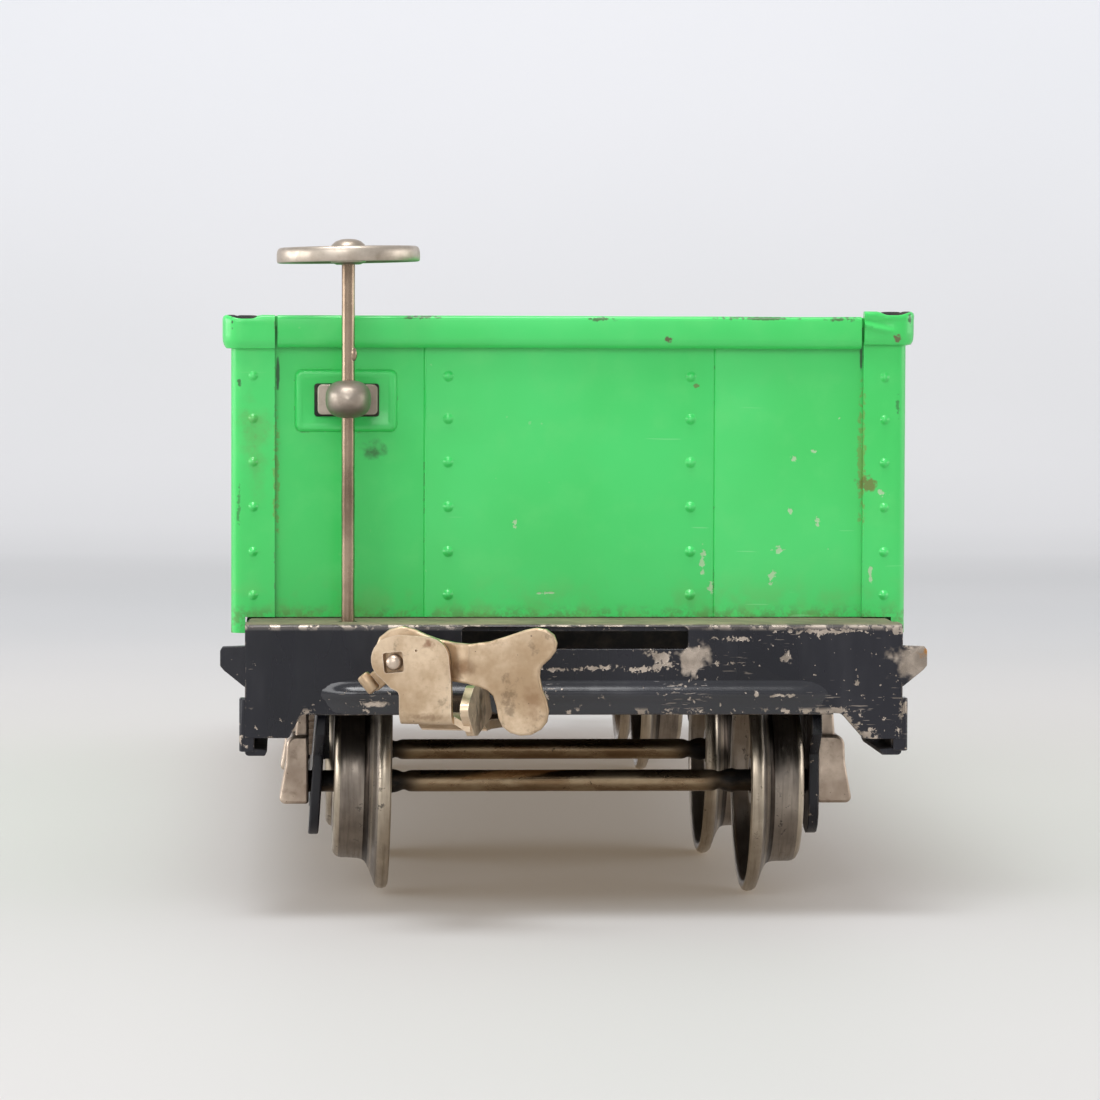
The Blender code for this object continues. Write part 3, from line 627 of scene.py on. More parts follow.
GREEN = green_enamel()
BLACK = black_enamel()
BEAD_BLACK = black_enamel("bead_black", gloss=True)
TRUCK_BLACK = black_enamel("truck_black", dusty=False, chips=0.55)
BRIGHT_NICKEL = nickel("brake_nickel", rgb(206, 194, 180), rgb(158, 144, 128), 0.36, 0.46, 0.8, dirt_and_shade=0.12)
DOME_NICKEL = nickel(
    "dome_nickel", rgb(190, 178, 165), rgb(148, 136, 122), 0.4, 0.5, 0.8, dirt_and_shade=0.1, ring=True
)
STAFF_NICKEL = nickel(
    "staff_nickel", rgb(176, 154, 132), rgb(132, 112, 94), 0.22, 0.3, 0.8, (1.0, 1.0, 0.15), 0.1
)
TAN_NICKEL = nickel(
    "coupler_nickel", rgb(226, 204, 176), rgb(176, 150, 120), 0.38, 0.58,
    stains_and_shade=(
        # Brown patch on the latch beside the plate's right edge: partly tarnished metal, partly painted
        # shadow of the plate.
        (hook_point(8.8, -72.0, -0.9), (3.0, 2.6, 2.0), 0.7, rgb(112, 76, 46)),
        (hook_point(12.0, -72.6, 3.0), (4.0, 2.6, 0.8), 0.6, rgb(120, 84, 54)),
        (hook_point(18.2, -73.0, -4.5), (1.6, 2.6, 3.6), 0.45, rgb(128, 92, 62)),
        (hook_point(4.6, -73.3, 2.4), (1.0, 2.6, 0.8), 0.7, rgb(120, 70, 44)),
        (hook_point(4.4, -73.3, -7.0), (2.6, 2.6, 0.6), 0.45, rgb(120, 84, 54)),
        # Dark patch on the side face of the riser: painted shade.
        (hook_point(10.2, -66.5, -6.6), (1.4, 5.6, 4.0), 0.75, rgb(84, 64, 46)),
    ),
)
GRAINY_NICKEL = nickel(
    "journal_nickel", rgb(222, 204, 186), rgb(164, 146, 130), 0.34, 0.5, 0.66, dirt_and_shade=0.35
)
WHEEL_STEEL = wheel_steel("wheel_steel", rgb(120, 111, 103), rgb(164, 153, 141), rgb(84, 74, 66))
RIM_STEEL = wheel_steel("wheel_rim_steel", rgb(158, 146, 130), rgb(206, 192, 172), rgb(104, 92, 80))
ROOT_STEEL = wheel_steel("wheel_root_steel", rgb(44, 38, 34), rgb(84, 74, 66), rgb(26, 22, 20))
AXLE_STEEL = axle_steel()
PAINTED_SHADE = painted_shade_finish()


def dress(obj, material, slot, *others):
    faces = obj.data.polygons
    numbers = [face.material_index if others else 0 for face in faces]
    obj.data.materials.clear()
    for each in (material, *others):
        obj.data.materials.append(each)
    faces.foreach_set("material_index", numbers)
    return obj


# ---------------- tub


def smoothstep(value, low, high):
    t = min(1.0, max(0.0, (value - low) / (high - low)))
    return t * t * (3 - 2 * t)


SEAM_YS = (-97.5, -58.5, -19.5, 19.5, 58.5, 97.5)
CLOSED_FOLD = (
    (1.95, 78.9), (1.86, 79.25), (1.62, 79.45), (1.3, 79.5), (0.9, 79.5), (0.5, 79.48),
    (0.15, 79.35), (0.0, 79.0),
)
OPEN_FOLD = (
    (1.97, 78.5), (1.92, 78.86), (1.74, 78.98), (1.58, 78.9), (1.15, 78.5), (0.75, 79.1),
    (0.4, 79.45), (0.0, 79.3),
)
LIP = [
    (0.8, 77.7), (1.15, 77.9), (1.15, 76.3), (1.02, 75.7), (0.95, 75.3), (1.18, 75.02),
    (1.5, 75.08), (1.78, 75.55), (1.91, 76.0), (1.93, 76.25),
]
LIP += [(1.95, 76.5 + 0.2 * k) for k in range(10)]


def wall_stations():
    """Stations round one side wall: (point, direction angle, place along the wall)."""
    end_y = BODY_END_Y - 0.8
    bend = 0.6
    near_end = []
    for x in (STRIP_X, STRIP_X + 0.12, 40.0, 40.6, 41.2, 41.9, 42.4, 42.8, 43.44, 43.46):
        near_end.append(((x, -end_y), -90.0, "end"))
    for k in range(7):
        a = -90.0 + 15.0 * k
        centre = (WALL_IN_X - bend, -(end_y - bend))
        near_end.append((arc(*centre, bend, a, a, 1)[0], a, "corner"))
    ys = {round(-130.0 + 5.0 * k, 3) for k in range(53)}
    for seam in SEAM_YS:
        ys |= {round(seam + shift, 3) for shift in (-0.45, -0.25, 0.0, 0.25, 0.45)}
    side = [((WALL_IN_X, y), 0.0, "side") for y in sorted(ys)]
    far_end = [((x, -y), -a, kind) for (x, y), a, kind in reversed(near_end)]
    return near_end + side + far_end


def side_panel(node, sign):
    bm = bmesh.new()
    rings = []
    for (x, y), angle, kind in wall_stations():
        out = (math.cos(math.radians(angle)), math.sin(math.radians(angle)))
        low = WALL_LOW_Z if x > 43.45 else BODY_LOW_Z - 0.75
        groove = 0.0
        if kind == "side":
            near = min(abs(y - seam) for seam in SEAM_YS)
            groove = -0.16 if near < 0.1 else (0.06 if near < 0.3 else 0.0)
        opened = smoothstep(abs(angle), 30.0, 90.0)
        if kind == "end":
            opened = smoothstep(x, 41.2, 42.7)
        lift = 0.0
        if sign > 0 and y < 0:
            lift = 0.75 * (1.0 - smoothstep(y, -132.0, -112.0))
        wave = 0.10 * noise.noise((x * 0.02, y * 0.035, 3.1 * sign))
        section = [(0.0, low), (0.8 + groove, low), (0.8 + groove, 74.4), (0.8, 74.9)]
        for d, z in LIP:
            if lift > 0.7 and d > 1.88 and kind != "side":
                crease = 77.75 - 0.36 * max(0.0, x - 39.6) ** 0.75
                fade = 1.0 - smoothstep(x, 41.8, 44.2)
                d += fade * (0.46 * math.exp(-(((z - crease) / 0.4) ** 2)))
                d -= 0.26 * fade * math.exp(-(((z - crease - 1.05) / 0.6) ** 2)) + 0.06
            section.append((d, z + lift))
        for (d0, z0), (d1, z1) in zip(CLOSED_FOLD, OPEN_FOLD):
            d = d0 + (d1 - d0) * opened
            z = z0 + (z1 - z0) * opened
            section.append((d, z + lift + wave))
        rings.append([(sign * (x + out[0] * d), y + out[1] * d, z) for d, z in section])
    add_loft(bm, rings)
    # Faces within the open fold at the corner caps take the dark second material: painted shade in the
    # fold gap.
    for face in bm.faces:
        middle = face.calc_center_median() / MM
        across, along = abs(middle.x) - 43.95, abs(middle.y) - 131.6
        out = math.hypot(max(0.0, across), max(0.0, along)) - 0.6
        turned = along > 0 and along > 0.75 * across
        if turned and middle.z > 78.3 and 0.3 < out < 1.66 and across > -2.0:
            face.material_index = 1
    for z in RIVET_ZS:
        for end in (-1, 1):
            centre = (sign * STRIP_RIVET_X, end * BODY_END_Y, z)
            add_dome(bm, centre, (0, end, 0), 0.6, 0.44)
        for seam in SEAM_YS:
            shift = 3.2 if seam < 0 else -3.2
            add_dome(bm, (sign * WALL_X, seam + shift, z), (sign, 0, 0), 0.62, 0.36)
    obj = link(node + "_pressed", mesh_from(node, bm, 45), "wagon")
    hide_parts(node)
    return dress(obj, GREEN, "green_enamel", PAINTED_SHADE)


def end_panel(node, end, with_pad):
    bm = bmesh.new()
    seam = [(-0.3, 0.08), (-0.12, 0.02), (0.0, -0.16), (0.1, -0.05), (0.25, 0.0)]
    front = [(SEAM_X + u, d) for u, d in seam] + [(44.2, 0.0)]
    front = [(-x, d) for x, d in reversed(front)] + front
    outline = [(x, end * (PANEL_Y + d)) for x, d in front]
    outline += [(44.2, end * (PANEL_Y - 0.8)), (-44.2, end * (PANEL_Y - 0.8))]
    add_prism(bm, outline, (BODY_LOW_Z - 0.8, 79.0), "Z")
    lip = [(131.2, 78.6), (131.1, 79.0), (131.25, 79.35), (131.6, 79.5), (133.1, 79.5)]
    lip += [(133.45, 79.42), (133.68, 79.2), (133.76, 78.85), (133.80, 76.6)]
    lip += [(133.72, 75.95), (133.45, 75.45), (133.05, 75.2), (132.75, 75.35)]
    lip += [(132.8, 75.95), (132.95, 76.5), (132.95, 78.2), (132.8, 78.55)]
    rings = []
    for k in range(41):
        x = -39.15 + 78.3 * k / 40
        wave = 0.07 * noise.noise((x * 0.06, 4.2 * end, 0.0))
        rings.append([(x, end * y, z + wave) for y, z in lip])
    add_loft(bm, rings)
    face = PANEL_Y + 0.08
    for z in RIVET_ZS:
        for side in (-1, 1):
            add_dome(bm, (side * RIVET_X, end * face, z), (0, end, 0), 0.66, 0.5)
    if with_pad:
        steps = ((0.0, -0.3), (0.0, 0.0), (0.14, 0.3), (0.34, 0.6), (0.66, 0.7), (1.1, 0.52))
        loops = []
        for inset, height in steps:
            w, h = 6.88 - inset, 4.2 - inset
            box = [(-w - 0.2, -h - 0.5), (w - 0.2, -h - 0.5)]
            box += [(w - 0.2, h - 0.5), (-w - 0.2, h - 0.5)]
            loop = rounded(box, max(0.35, 0.95 - 0.7 * inset), 5)
            y = end * (PANEL_Y + height)
            loops.append([(STAFF[0] + u, y, BRACKET_Z + v) for u, v in loop])
        add_loft(bm, loops)
    for side in (-1, 1):
        filler = [(side * 38.9, 78.0), (side * 40.2, 78.0), (side * 40.2, 79.4), (side * 38.9, 79.4)]
        add_prism(bm, filler, sorted((end * 131.3, end * 132.5)), "Y")
    obj = link(node + "_pressed", mesh_from(node, bm, 45), "wagon")
    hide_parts(node)
    return dress(obj, GREEN, "green_enamel")


def tub():
    side_panel("side_panel_left", -1)
    side_panel("side_panel_right", 1)
    end_panel("end_panel_brake", -1, True)
    end_panel("end_panel_plain", 1, False)
    dress(refined("floor_panel", "floor_sheet", "wagon", 0.12), GREEN, "green_enamel")
    for side in ("left", "right"):
        for row in ("front", "rear"):
            node = f"blank_plate_{side}_{row}"
            dress(refined(node, node + "_soft", "wagon", 0.15), BRIGHT_NICKEL, "nickel")


# ---------------- underframe


def frame_pressing():
    w = FRAME_HALF_W
    top = DECK_Z - 0.02
    shell = [(-w, 21.6), (-w, top), (w, top), (w, 21.6), (w - 2.6, 21.6), (w - 3.0, 22.4)]
    shell += [(w - 1, 22.6), (w - 1, top - 1), (1 - w, top - 1), (1 - w, 22.6)]
    shell += [(3.0 - w, 22.4), (2.6 - w, 21.6)]
    radii = [0.5, 0.9, 0.9, 0.5, 0.2, 0.2, 0.3, 0.3, 0.3, 0.3, 0.2, 0.2]
    body = prism_mesh(rounded(shell, radii, 4), (-145.2, 145.2), "Y")
    sill = [(-125, 10), (-125, 26.2), (-121.5, 29.7), (-58, 29.7), (-53, 27.2)]
    sill += [(53, 27.2), (58, 29.7), (121.5, 29.7), (125, 26.2), (125, 10)]
    radii = [0, 1.5, 2.0, 2.0, 2.0, 2.0, 2.0, 2.0, 1.5, 0]
    tools = [prism_mesh(rounded(sill, radii, 4), (-50, 50), "X")]
    for x in (-32.0, 32.0):
        for y in (-50.0, 0.0, 50.0):
            slot = [(x - 1, y - 3.6), (x + 1, y - 3.6), (x + 1, y + 3.6), (x - 1, y + 3.6)]
            tools.append(prism_mesh(slot, (35, 42), "Z"))
    tools.append(prism_mesh(arc(*STAFF, 1.2, 0, 360, 20)[:-1], (36, 42), "Z"))
    body = boolean(body, tools)
    shade(body, 30)
    body.name = "frame_pressing"
    # Faces within the frame's channel take the dark second material: painted shade, so the hollow reads
    # darker than its lit black enamel.
    for face in body.polygons:
        middle = face.center / MM
        shaded_interior = abs(middle.x) < w - 0.9 and middle.z < top - 0.9
        face.material_index = 1 if shaded_interior and abs(middle.y) < 145.1 else 0
    obj = bevelled(link("frame_pressing", body, "wagon"), 0.14, 2)
    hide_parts("chassis_frame")
    dress(obj, BLACK, "black_enamel", PAINTED_SHADE)
    for tag, end in (("a", -1), ("b", 1)):
        frame_end(tag, end)


def frame_end(tag, end):
    """End plate with its bend, slot, legs, ears, corner rolls and long pressed bead."""
    w = FRAME_HALF_W
    e = FRAME_END_Y
    section = [(e - 5, DECK_Z), (e, DECK_Z), (e, 23.0), (e - 1, 23.0), (e - 1, 38), (e - 5, 38)]
    section = [(end * y, z) for y, z in rounded(section, [0, 0.85, 0, 0, 0.2, 0], 5)]
    plate = prism_mesh(section, (-w, w), "X")
    notch = [(-60, 15), (-60, 24.1), (-37.6, 24.0), (-36.0, 27.1)]
    notch += [(35.2, 27.2), (38.2, 23.8), (60, 23.7), (60, 15)]
    notch = [(-end * x, z) for x, z in rounded(notch, [0, 0, 0.4, 0.7, 1.2, 0.4, 0, 0], 4)]
    tools = [prism_mesh(notch, (-200, 200), "Y")]
    hole = rounded([(-14.9, 35.7), (14.9, 35.7), (14.9, 38.6), (-14.9, 38.6)], 0.5, 4)
    span = sorted((end * (e - 3), end * (e + 3)))
    tools.append(prism_mesh(hole, span, "Y"))
    plate = boolean(plate, tools)
    shade(plate, 30)
    plate.name = "frame_end_" + tag
    obj = bevelled(link("frame_end_" + tag, plate, "wagon"), 0.16, 2)
    dress(obj, BLACK, "black_enamel")

    bm = bmesh.new()
    tip = [(w - 2.0, 30.9), (w + 0.1, 30.75), (46.1, 32.9), (46.6, 33.5), (46.6, 35.5)]
    tip += [(46.25, 36.05), (w + 0.2, 36.15), (w - 2.0, 36.15)]
    for side in (-1, 1):
        ear = [(side * x, z) for x, z in rounded(tip, [0, 0.3, 0.3, 0.4, 0.3, 0.2, 0.2, 0], 3)]
        add_prism(bm, ear, sorted((end * (e - 0.02), end * (e - 0.98))), "Y")
        roll = [(w - 1.2, e - 0.08), (w + 0.4, e - 0.08), (w + 0.75, e - 0.5)]
        roll += [(w + 0.75, e - 2.6), (w - 1.2, e - 2.6)]
        roll = [(side * x, end * y) for x, y in roll]
        add_prism(bm, roll, (22.2, 29.2), "Z")
    trim = link("frame_corners_" + tag, mesh_from("frame_corners", bm, 30), "wagon")
    dress(bevelled(trim, 0.16, 2), BLACK, "black_enamel")

    bm = bmesh.new()
    rib = ((-0.5, 31.9), (-0.02, 31.6), (0.06, 31.3), (0.22, 30.95), (0.46, 30.6), (0.74, 30.28))
    rib += ((0.92, 29.95), (0.9, 29.55), (0.74, 29.2), (0.5, 28.95), (0.3, 28.3), (0.12, 27.5))
    rib += ((0.0, 27.15), (-0.35, 27.0), (-0.8, 27.1), (-0.8, 29.0))
    rings = []
    for k in range(49):
        x = -34.2 + 68.4 * k / 48
        rise = smoothstep(34.2 - abs(x), 0.0, 4.4)
        sink = 0.15 * (1.0 - rise)
        rings.append([(x, end * (e + min(d, d * rise) - sink), z) for d, z in rib])
    add_loft(bm, rings)
    bead = link("frame_bead_" + tag, mesh_from("frame_bead", bm, 60), "wagon")
    dress(bead, BEAD_BLACK, "black_enamel")


def king_pins():
    for tag in ("a", "b"):
        # The bolsters, seen through the end slots, get the dark material: painted shade.
        node = "frame_bolster_" + tag
        dress(refined(node, node + "_soft", "wagon", 0.2), PAINTED_SHADE, "black_enamel")
        node = "king_pin_" + tag
        dress(refined(node, node + "_soft", "wagon", 0.1), GRAINY_NICKEL, "nickel")


# ---------------- hand brake


def brake_bracket():
    bm = bmesh.new()
    face = -(PANEL_Y + 0.7)
    plate = rounded([(-4.0, -2.4), (4.0, -2.4), (4.0, 1.68), (-4.0, 1.68)], 0.6, 4)
    plate = [(STAFF[0] + u, BRACKET_Z + v) for u, v in plate]
    add_prism(bm, plate, (face - 0.95, face - 0.1), "Y")
    plate_faces = len(bm.faces)
    # A thin dark ring behind the bracket plate: painted shade of the gap round it.
    slot = rounded([(-4.45, -2.62), (4.22, -2.62), (4.22, 1.8), (-4.45, 1.8)], 0.4, 3)
    slot = [(STAFF[0] + u, BRACKET_Z + v) for u, v in slot]
    add_prism(bm, slot, (face - 0.14, face + 0.4), "Y")
    for panel in list(bm.faces)[plate_faces:]:
        panel.material_index = 1
    rings = []
    for k in range(25):
        t = k / 24
        y = face - 0.5 - t * 11.9
        swell = 0.8 + 0.2 * smoothstep(t, 0.0, 0.5)
        nose = max(0.0, 1.0 - max(0.0, (t - 0.66) / 0.34) ** 2.1) ** 0.5
        w, h = 3.0 * swell * nose, 2.5 * swell * nose
        ring = []
        for c, s in circle(32):
            u = math.copysign(abs(c) ** 0.78, c) * max(w, 0.02)
            v = math.copysign(abs(s) ** 0.78, s) * max(h, 0.02)
            ring.append((STAFF[0] + u, y, BRACKET_Z - 0.2 + v))
        rings.append(ring)
    add_loft(bm, rings)
    obj = link("brake_bracket_domed", mesh_from("brake_bracket", bm, 40), "wagon")
    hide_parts("brake_bracket")
    dress(bevelled(obj, 0.12, 2, 50), DOME_NICKEL, "nickel", PAINTED_SHADE)


def brake_staff():
    bm = bmesh.new()
    x, y = STAFF
    profile = [(0.0, 36.5), (0.7, 36.5), (0.875, 36.8)]
    for k in range(24):
        z = 37.5 + k * 2.1
        profile.append((0.875 + 0.012 * math.sin(k * 1.7), z))
    profile += [(0.875, 88.2), (0.0, 88.3)]
    add_lathe(bm, profile, "Z", (x, y, 0.0), 24)
    rings = []
    for k in range(9):
        a = math.pi * k / 8
        r = max(math.sin(a), 0.02)
        z = 74.3 + 0.95 * math.cos(a)
        rings.append([(x + 0.62 + 0.58 * r * c, y - 0.35 + 0.5 * r * s, z) for c, s in circle(14)])
    add_loft(bm, rings)
    obj = link("brake_staff_crimped", mesh_from("brake_staff", bm, 50), "hand_brake")
    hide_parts("brake_staff")
    dress(obj, STAFF_NICKEL, "nickel")


def brake_wheel():
    bm = bmesh.new()
    rim = ((8.2, -0.9), (8.6, -1.02), (9.15, -1.02), (9.36, -0.96), (9.43, -0.8), (9.46, -0.3))
    rim += ((9.45, 0.2), (9.38, 0.6), (9.22, 0.88), (8.9, 1.02), (8.4, 0.98), (8.05, 0.7))
    rim += ((7.9, 0.0), (7.95, -0.6))
    add_lathe(bm, rim, "Z", (0, 0, 0), 96)
    hub = ((0.0, -1.3), (1.6, -1.3), (2.3, -1.0), (2.5, -0.4), (2.45, 0.6))
    hub += ((2.2, 1.3), (1.7, 1.75), (1.0, 2.02), (0.0, 2.1))
    add_lathe(bm, hub, "Z", (0, 0, 0), 40)
    for along, aside in circle(5):
        rings = []
        for j in range(9):
            r = 1.5 + 7.0 * j / 8
            half = 0.75 + 0.45 * abs(j / 8 - 0.5) ** 1.5
            ring = []
            for c, s in circle(12):
                u = half * c
                ring.append((r * along - u * aside, r * aside + u * along, 0.55 * s - 0.1))
            rings.append(ring)
        add_loft(bm, rings)
    mesh = mesh_from("brake_wheel", bm, 45)
    mesh.transform(Matrix.Rotation(math.radians(-1.1), 4, "Y"))
    mesh.transform(Matrix.Translation(Vector((STAFF[0], STAFF[1], 87.45)) * MM))
    obj = link("brake_wheel_turned", mesh, "hand_brake")
    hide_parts("brake_wheel")
    dress(obj, BRIGHT_NICKEL, "nickel")


# ---------------- trucks

SIDE_SHIFT = {"a": 0.45, "b": 0.0}
WHEEL_PROFILE = (
    (1.9, 1.3), (3.2, 1.3), (3.5, 1.6), (3.6, 2.6), (13.0, 2.5), (13.6, 1.5), (13.9, 0.5),
    (14.3, 0.12), (14.9, 0.0), (15.3, 0.22), (15.5, 0.75), (15.42, 1.3), (15.1, 1.75),
    (14.0, 2.15), (12.9, 2.6), (12.2, 2.95), (11.75, 3.25), (11.5, 3.65), (11.36, 4.3),
    (11.3, 5.8), (11.32, 6.4), (11.22, 6.9), (10.95, 7.35), (10.5, 7.65), (9.9, 7.75),
    (9.4, 7.65), (9.1, 7.3), (8.9, 5.9), (4.6, 5.6), (4.3, 7.2), (4.0, 7.6), (1.9, 7.6),
)
WHEEL_LEAN = {("a", "outer", "left"): 1.3, ("a", "outer", "right"): 0.0}
WHEEL_PLAY = {
    ("a", "outer", "left"): 0.12,
    ("a", "outer", "right"): 0.95,
    ("a", "inner", "left"): -0.7,
    ("a", "inner", "right"): -0.85,
}


def wheel(tag, row, side, sign, y, lean):
    bm = bmesh.new()
    seed = 1.7 * y + sign
    profile = [(r, sign * (WHEEL_BACK_X + x)) for r, x in WHEEL_PROFILE]

    def dented(angle, position):
        rough = noise.noise((math.cos(angle) * 2.2, math.sin(angle) * 2.2, seed))
        return 0.003 * rough - 0.0105

    add_lathe(bm, profile, "X", (0, 0, 0), 72, dented)
    # Lighter rim steel on the flange tip is wear; on the tread's outer edge it is a painted highlight.
    # Darker root steel goes to the flange root.
    for face in bm.faces:
        middle = face.calc_center_median() / MM
        radius, depth = math.hypot(middle.y, middle.z), abs(middle.x) - WHEEL_BACK_X
        if 2.9 < depth < 3.7 and radius > 11.2:
            face.material_index = 2
        elif radius > 14.8 or (7.0 < depth and 9.6 < radius):
            face.material_index = 1
    mesh = mesh_from("wheel", bm, 38)
    mesh.transform(Matrix.Rotation(math.radians(lean), 4, "Y"))
    shift = WHEEL_PLAY[tag, row, side] if tag == "a" else 0.0
    mesh.transform(Matrix.Translation(Vector((shift, y, AXLE_Z)) * MM))
    node = f"wheel_{tag}_{row}_{side}"
    obj = link(node + "_turned", mesh, node + "_body")
    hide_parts(node)
    dress(obj, WHEEL_STEEL, "wheel_steel", RIM_STEEL, ROOT_STEEL)


def axle(tag, row, y):
    bm = bmesh.new()
    xs = [36.6, 36.2, 30.0, 24.2, 23.6, 22.9, 22.5, 22.2, 21.9, 21.6, 21.2, 20.8, 20.0, 10.0]
    xs = [-v for v in xs] + [0.0] + list(reversed(xs))

    def crimp(angle, position):
        near = math.exp(-(((abs(position) - 21.8) / 0.55) ** 2))
        return near * (0.12 * math.cos(2 * angle + 0.7) - 0.1)

    profile = [(0.0, xs[0])]
    for x in xs:
        grease = 0.22 * math.exp(-(((abs(x) - 23.4) / 0.5) ** 2))
        r = 1.5 - (0.3 if abs(x) > 36.4 else 0.0) + grease
        profile.append((r, x))
    profile.append((0.0, xs[-1]))
    add_lathe(bm, profile, "X", (0.0, y, AXLE_Z), 32, crimp)
    node = f"axle_{tag}_{row}"
    obj = link(node + "_crimped", mesh_from("axle", bm, 40), "truck_" + tag)
    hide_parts(node)
    dress(obj, AXLE_STEEL, "bronzed_steel")


def journal_box(tag, row, side, sign, y):
    bm = bmesh.new()
    out = sign * SIDE_SHIFT[tag]
    outline = [(34.9, 12.7), (39.5 + out, 12.7), (38.5 + out, 18.2), (38.35 + out, 22.1)]
    outline.append((34.9, 22.1))
    outline = rounded(outline, [0, 0.8, 4.0, 1.4, 0], 6)
    add_prism(bm, [(sign * x, z) for x, z in outline], (y - 4.0, y + 4.0), "Y")
    neck = [(34.9, 21.6), (37.2 + out, 21.6), (36.9 + out, 26.2), (34.9, 26.2)]
    neck = rounded(neck, [0, 0, 0.8, 0], 4)
    add_prism(bm, [(sign * x, z) for x, z in neck], (y - 2.8, y + 2.8), "Y")
    node = f"journal_box_{tag}_{row}_{side}"
    obj = link(node + "_cast", mesh_from("journal_box", bm, 40), "truck_" + tag)
    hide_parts(node)
    dress(bevelled(obj, 0.42, 3), GRAINY_NICKEL, "nickel")


def side_frame(tag, side, sign, y, lean):
    node = f"side_frame_{tag}_{side}"

    def splay(p):
        inset = SIDE_SHIFT[tag] - (0.45 if lean > 0.03 else 0.0) * sign
        low = 0.85 if p.z < 12.0 else 0.0
        return (p.x + inset + sign * lean * max(0.0, 26.0 - p.z), p.y, p.z - low)

    obj = refined(node, node + "_soft", "truck_" + tag, 0.22, 2, 35, splay)
    dress(obj, TRUCK_BLACK, "black_enamel")
    bm = bmesh.new()
    for k in range(5):
        half = 7.6 - 1.2 * k
        rings = []
        for j in range(13):
            t = -1 + 2 * j / 12
            z = 22.6 - 1.05 * k - 1.5 * (1 - t * t)
            yy = y + half * t
            x0, x1 = sign * 33.7, sign * 35.4
            rings.append([(x0, yy, z), (x1, yy, z), (x1, yy, z + 0.8), (x0, yy, z + 0.8)])
        add_loft(bm, rings)
    spring = link(f"leaf_spring_{tag}_{side}", mesh_from("leaf_spring", bm, 30), "truck_" + tag)
    dress(bevelled(spring, 0.1, 2), GRAINY_NICKEL, "nickel")
    bm = bmesh.new()
    for rivet_y in (-4.5, 4.5):
        add_dome(bm, (sign * 34.7, y + rivet_y, 26.9), (sign, 0, 0), 0.95, 0.7, 18)
    rivets = link(f"frame_rivets_{tag}_{side}", mesh_from("rivets", bm, 50), "truck_" + tag)
    dress(rivets, GRAINY_NICKEL, "nickel")


def truck(tag, centre):
    node = "truck_bolster_" + tag
    dress(refined(node, node + "_soft", "truck_" + tag, 0.2), TRUCK_BLACK, "black_enamel")
    inward = 1 if centre < 0 else -1
    for side, sign in (("left", -1), ("right", 1)):
        splay = 0.07 if (tag, side) == ("a", "left") else 0.006
        side_frame(tag, side, sign, centre, splay)
    for row, offset in (("outer", -AXLE_Y * inward), ("inner", AXLE_Y * inward)):
        axle(tag, row, centre + offset)
        for side, sign in (("left", -1), ("right", 1)):
            journal_box(tag, row, side, sign, centre + offset)
            lean = WHEEL_LEAN.get((tag, row, side), 0.4 * sign)
            wheel(tag, row, side, sign, centre + offset, lean)


# ---------------- couplers


def on_coupler(mesh, tag):
    """Coupler coordinates (king pin at the origin, head towards -Y) into the object's frame."""
    turn, pin = (COUPLER_TURN, -TRUCK_Y) if tag == "a" else (COUPLER_TURN + math.pi, TRUCK_Y)
    mesh.transform(Matrix.Translation((0.0, pin * MM, 0.0)) @ Matrix.Rotation(turn, 4, "Z"))
    return mesh


def sliced(mesh, levels, axis):
    """The same solid with extra cuts across one axis, so that it can be bent."""
    bm = bmesh.new()
    bm.from_mesh(mesh)
    normal = [1.0 if i == axis else 0.0 for i in range(3)]
    for level in levels:
        geometry = bm.verts[:] + bm.edges[:] + bm.faces[:]
        point = [level * MM * n for n in normal]
        bmesh.ops.bisect_plane(bm, geom=geometry, plane_co=point, plane_no=normal, dist=1e-8)
    bm.to_mesh(mesh)
    bm.free()
    return mesh


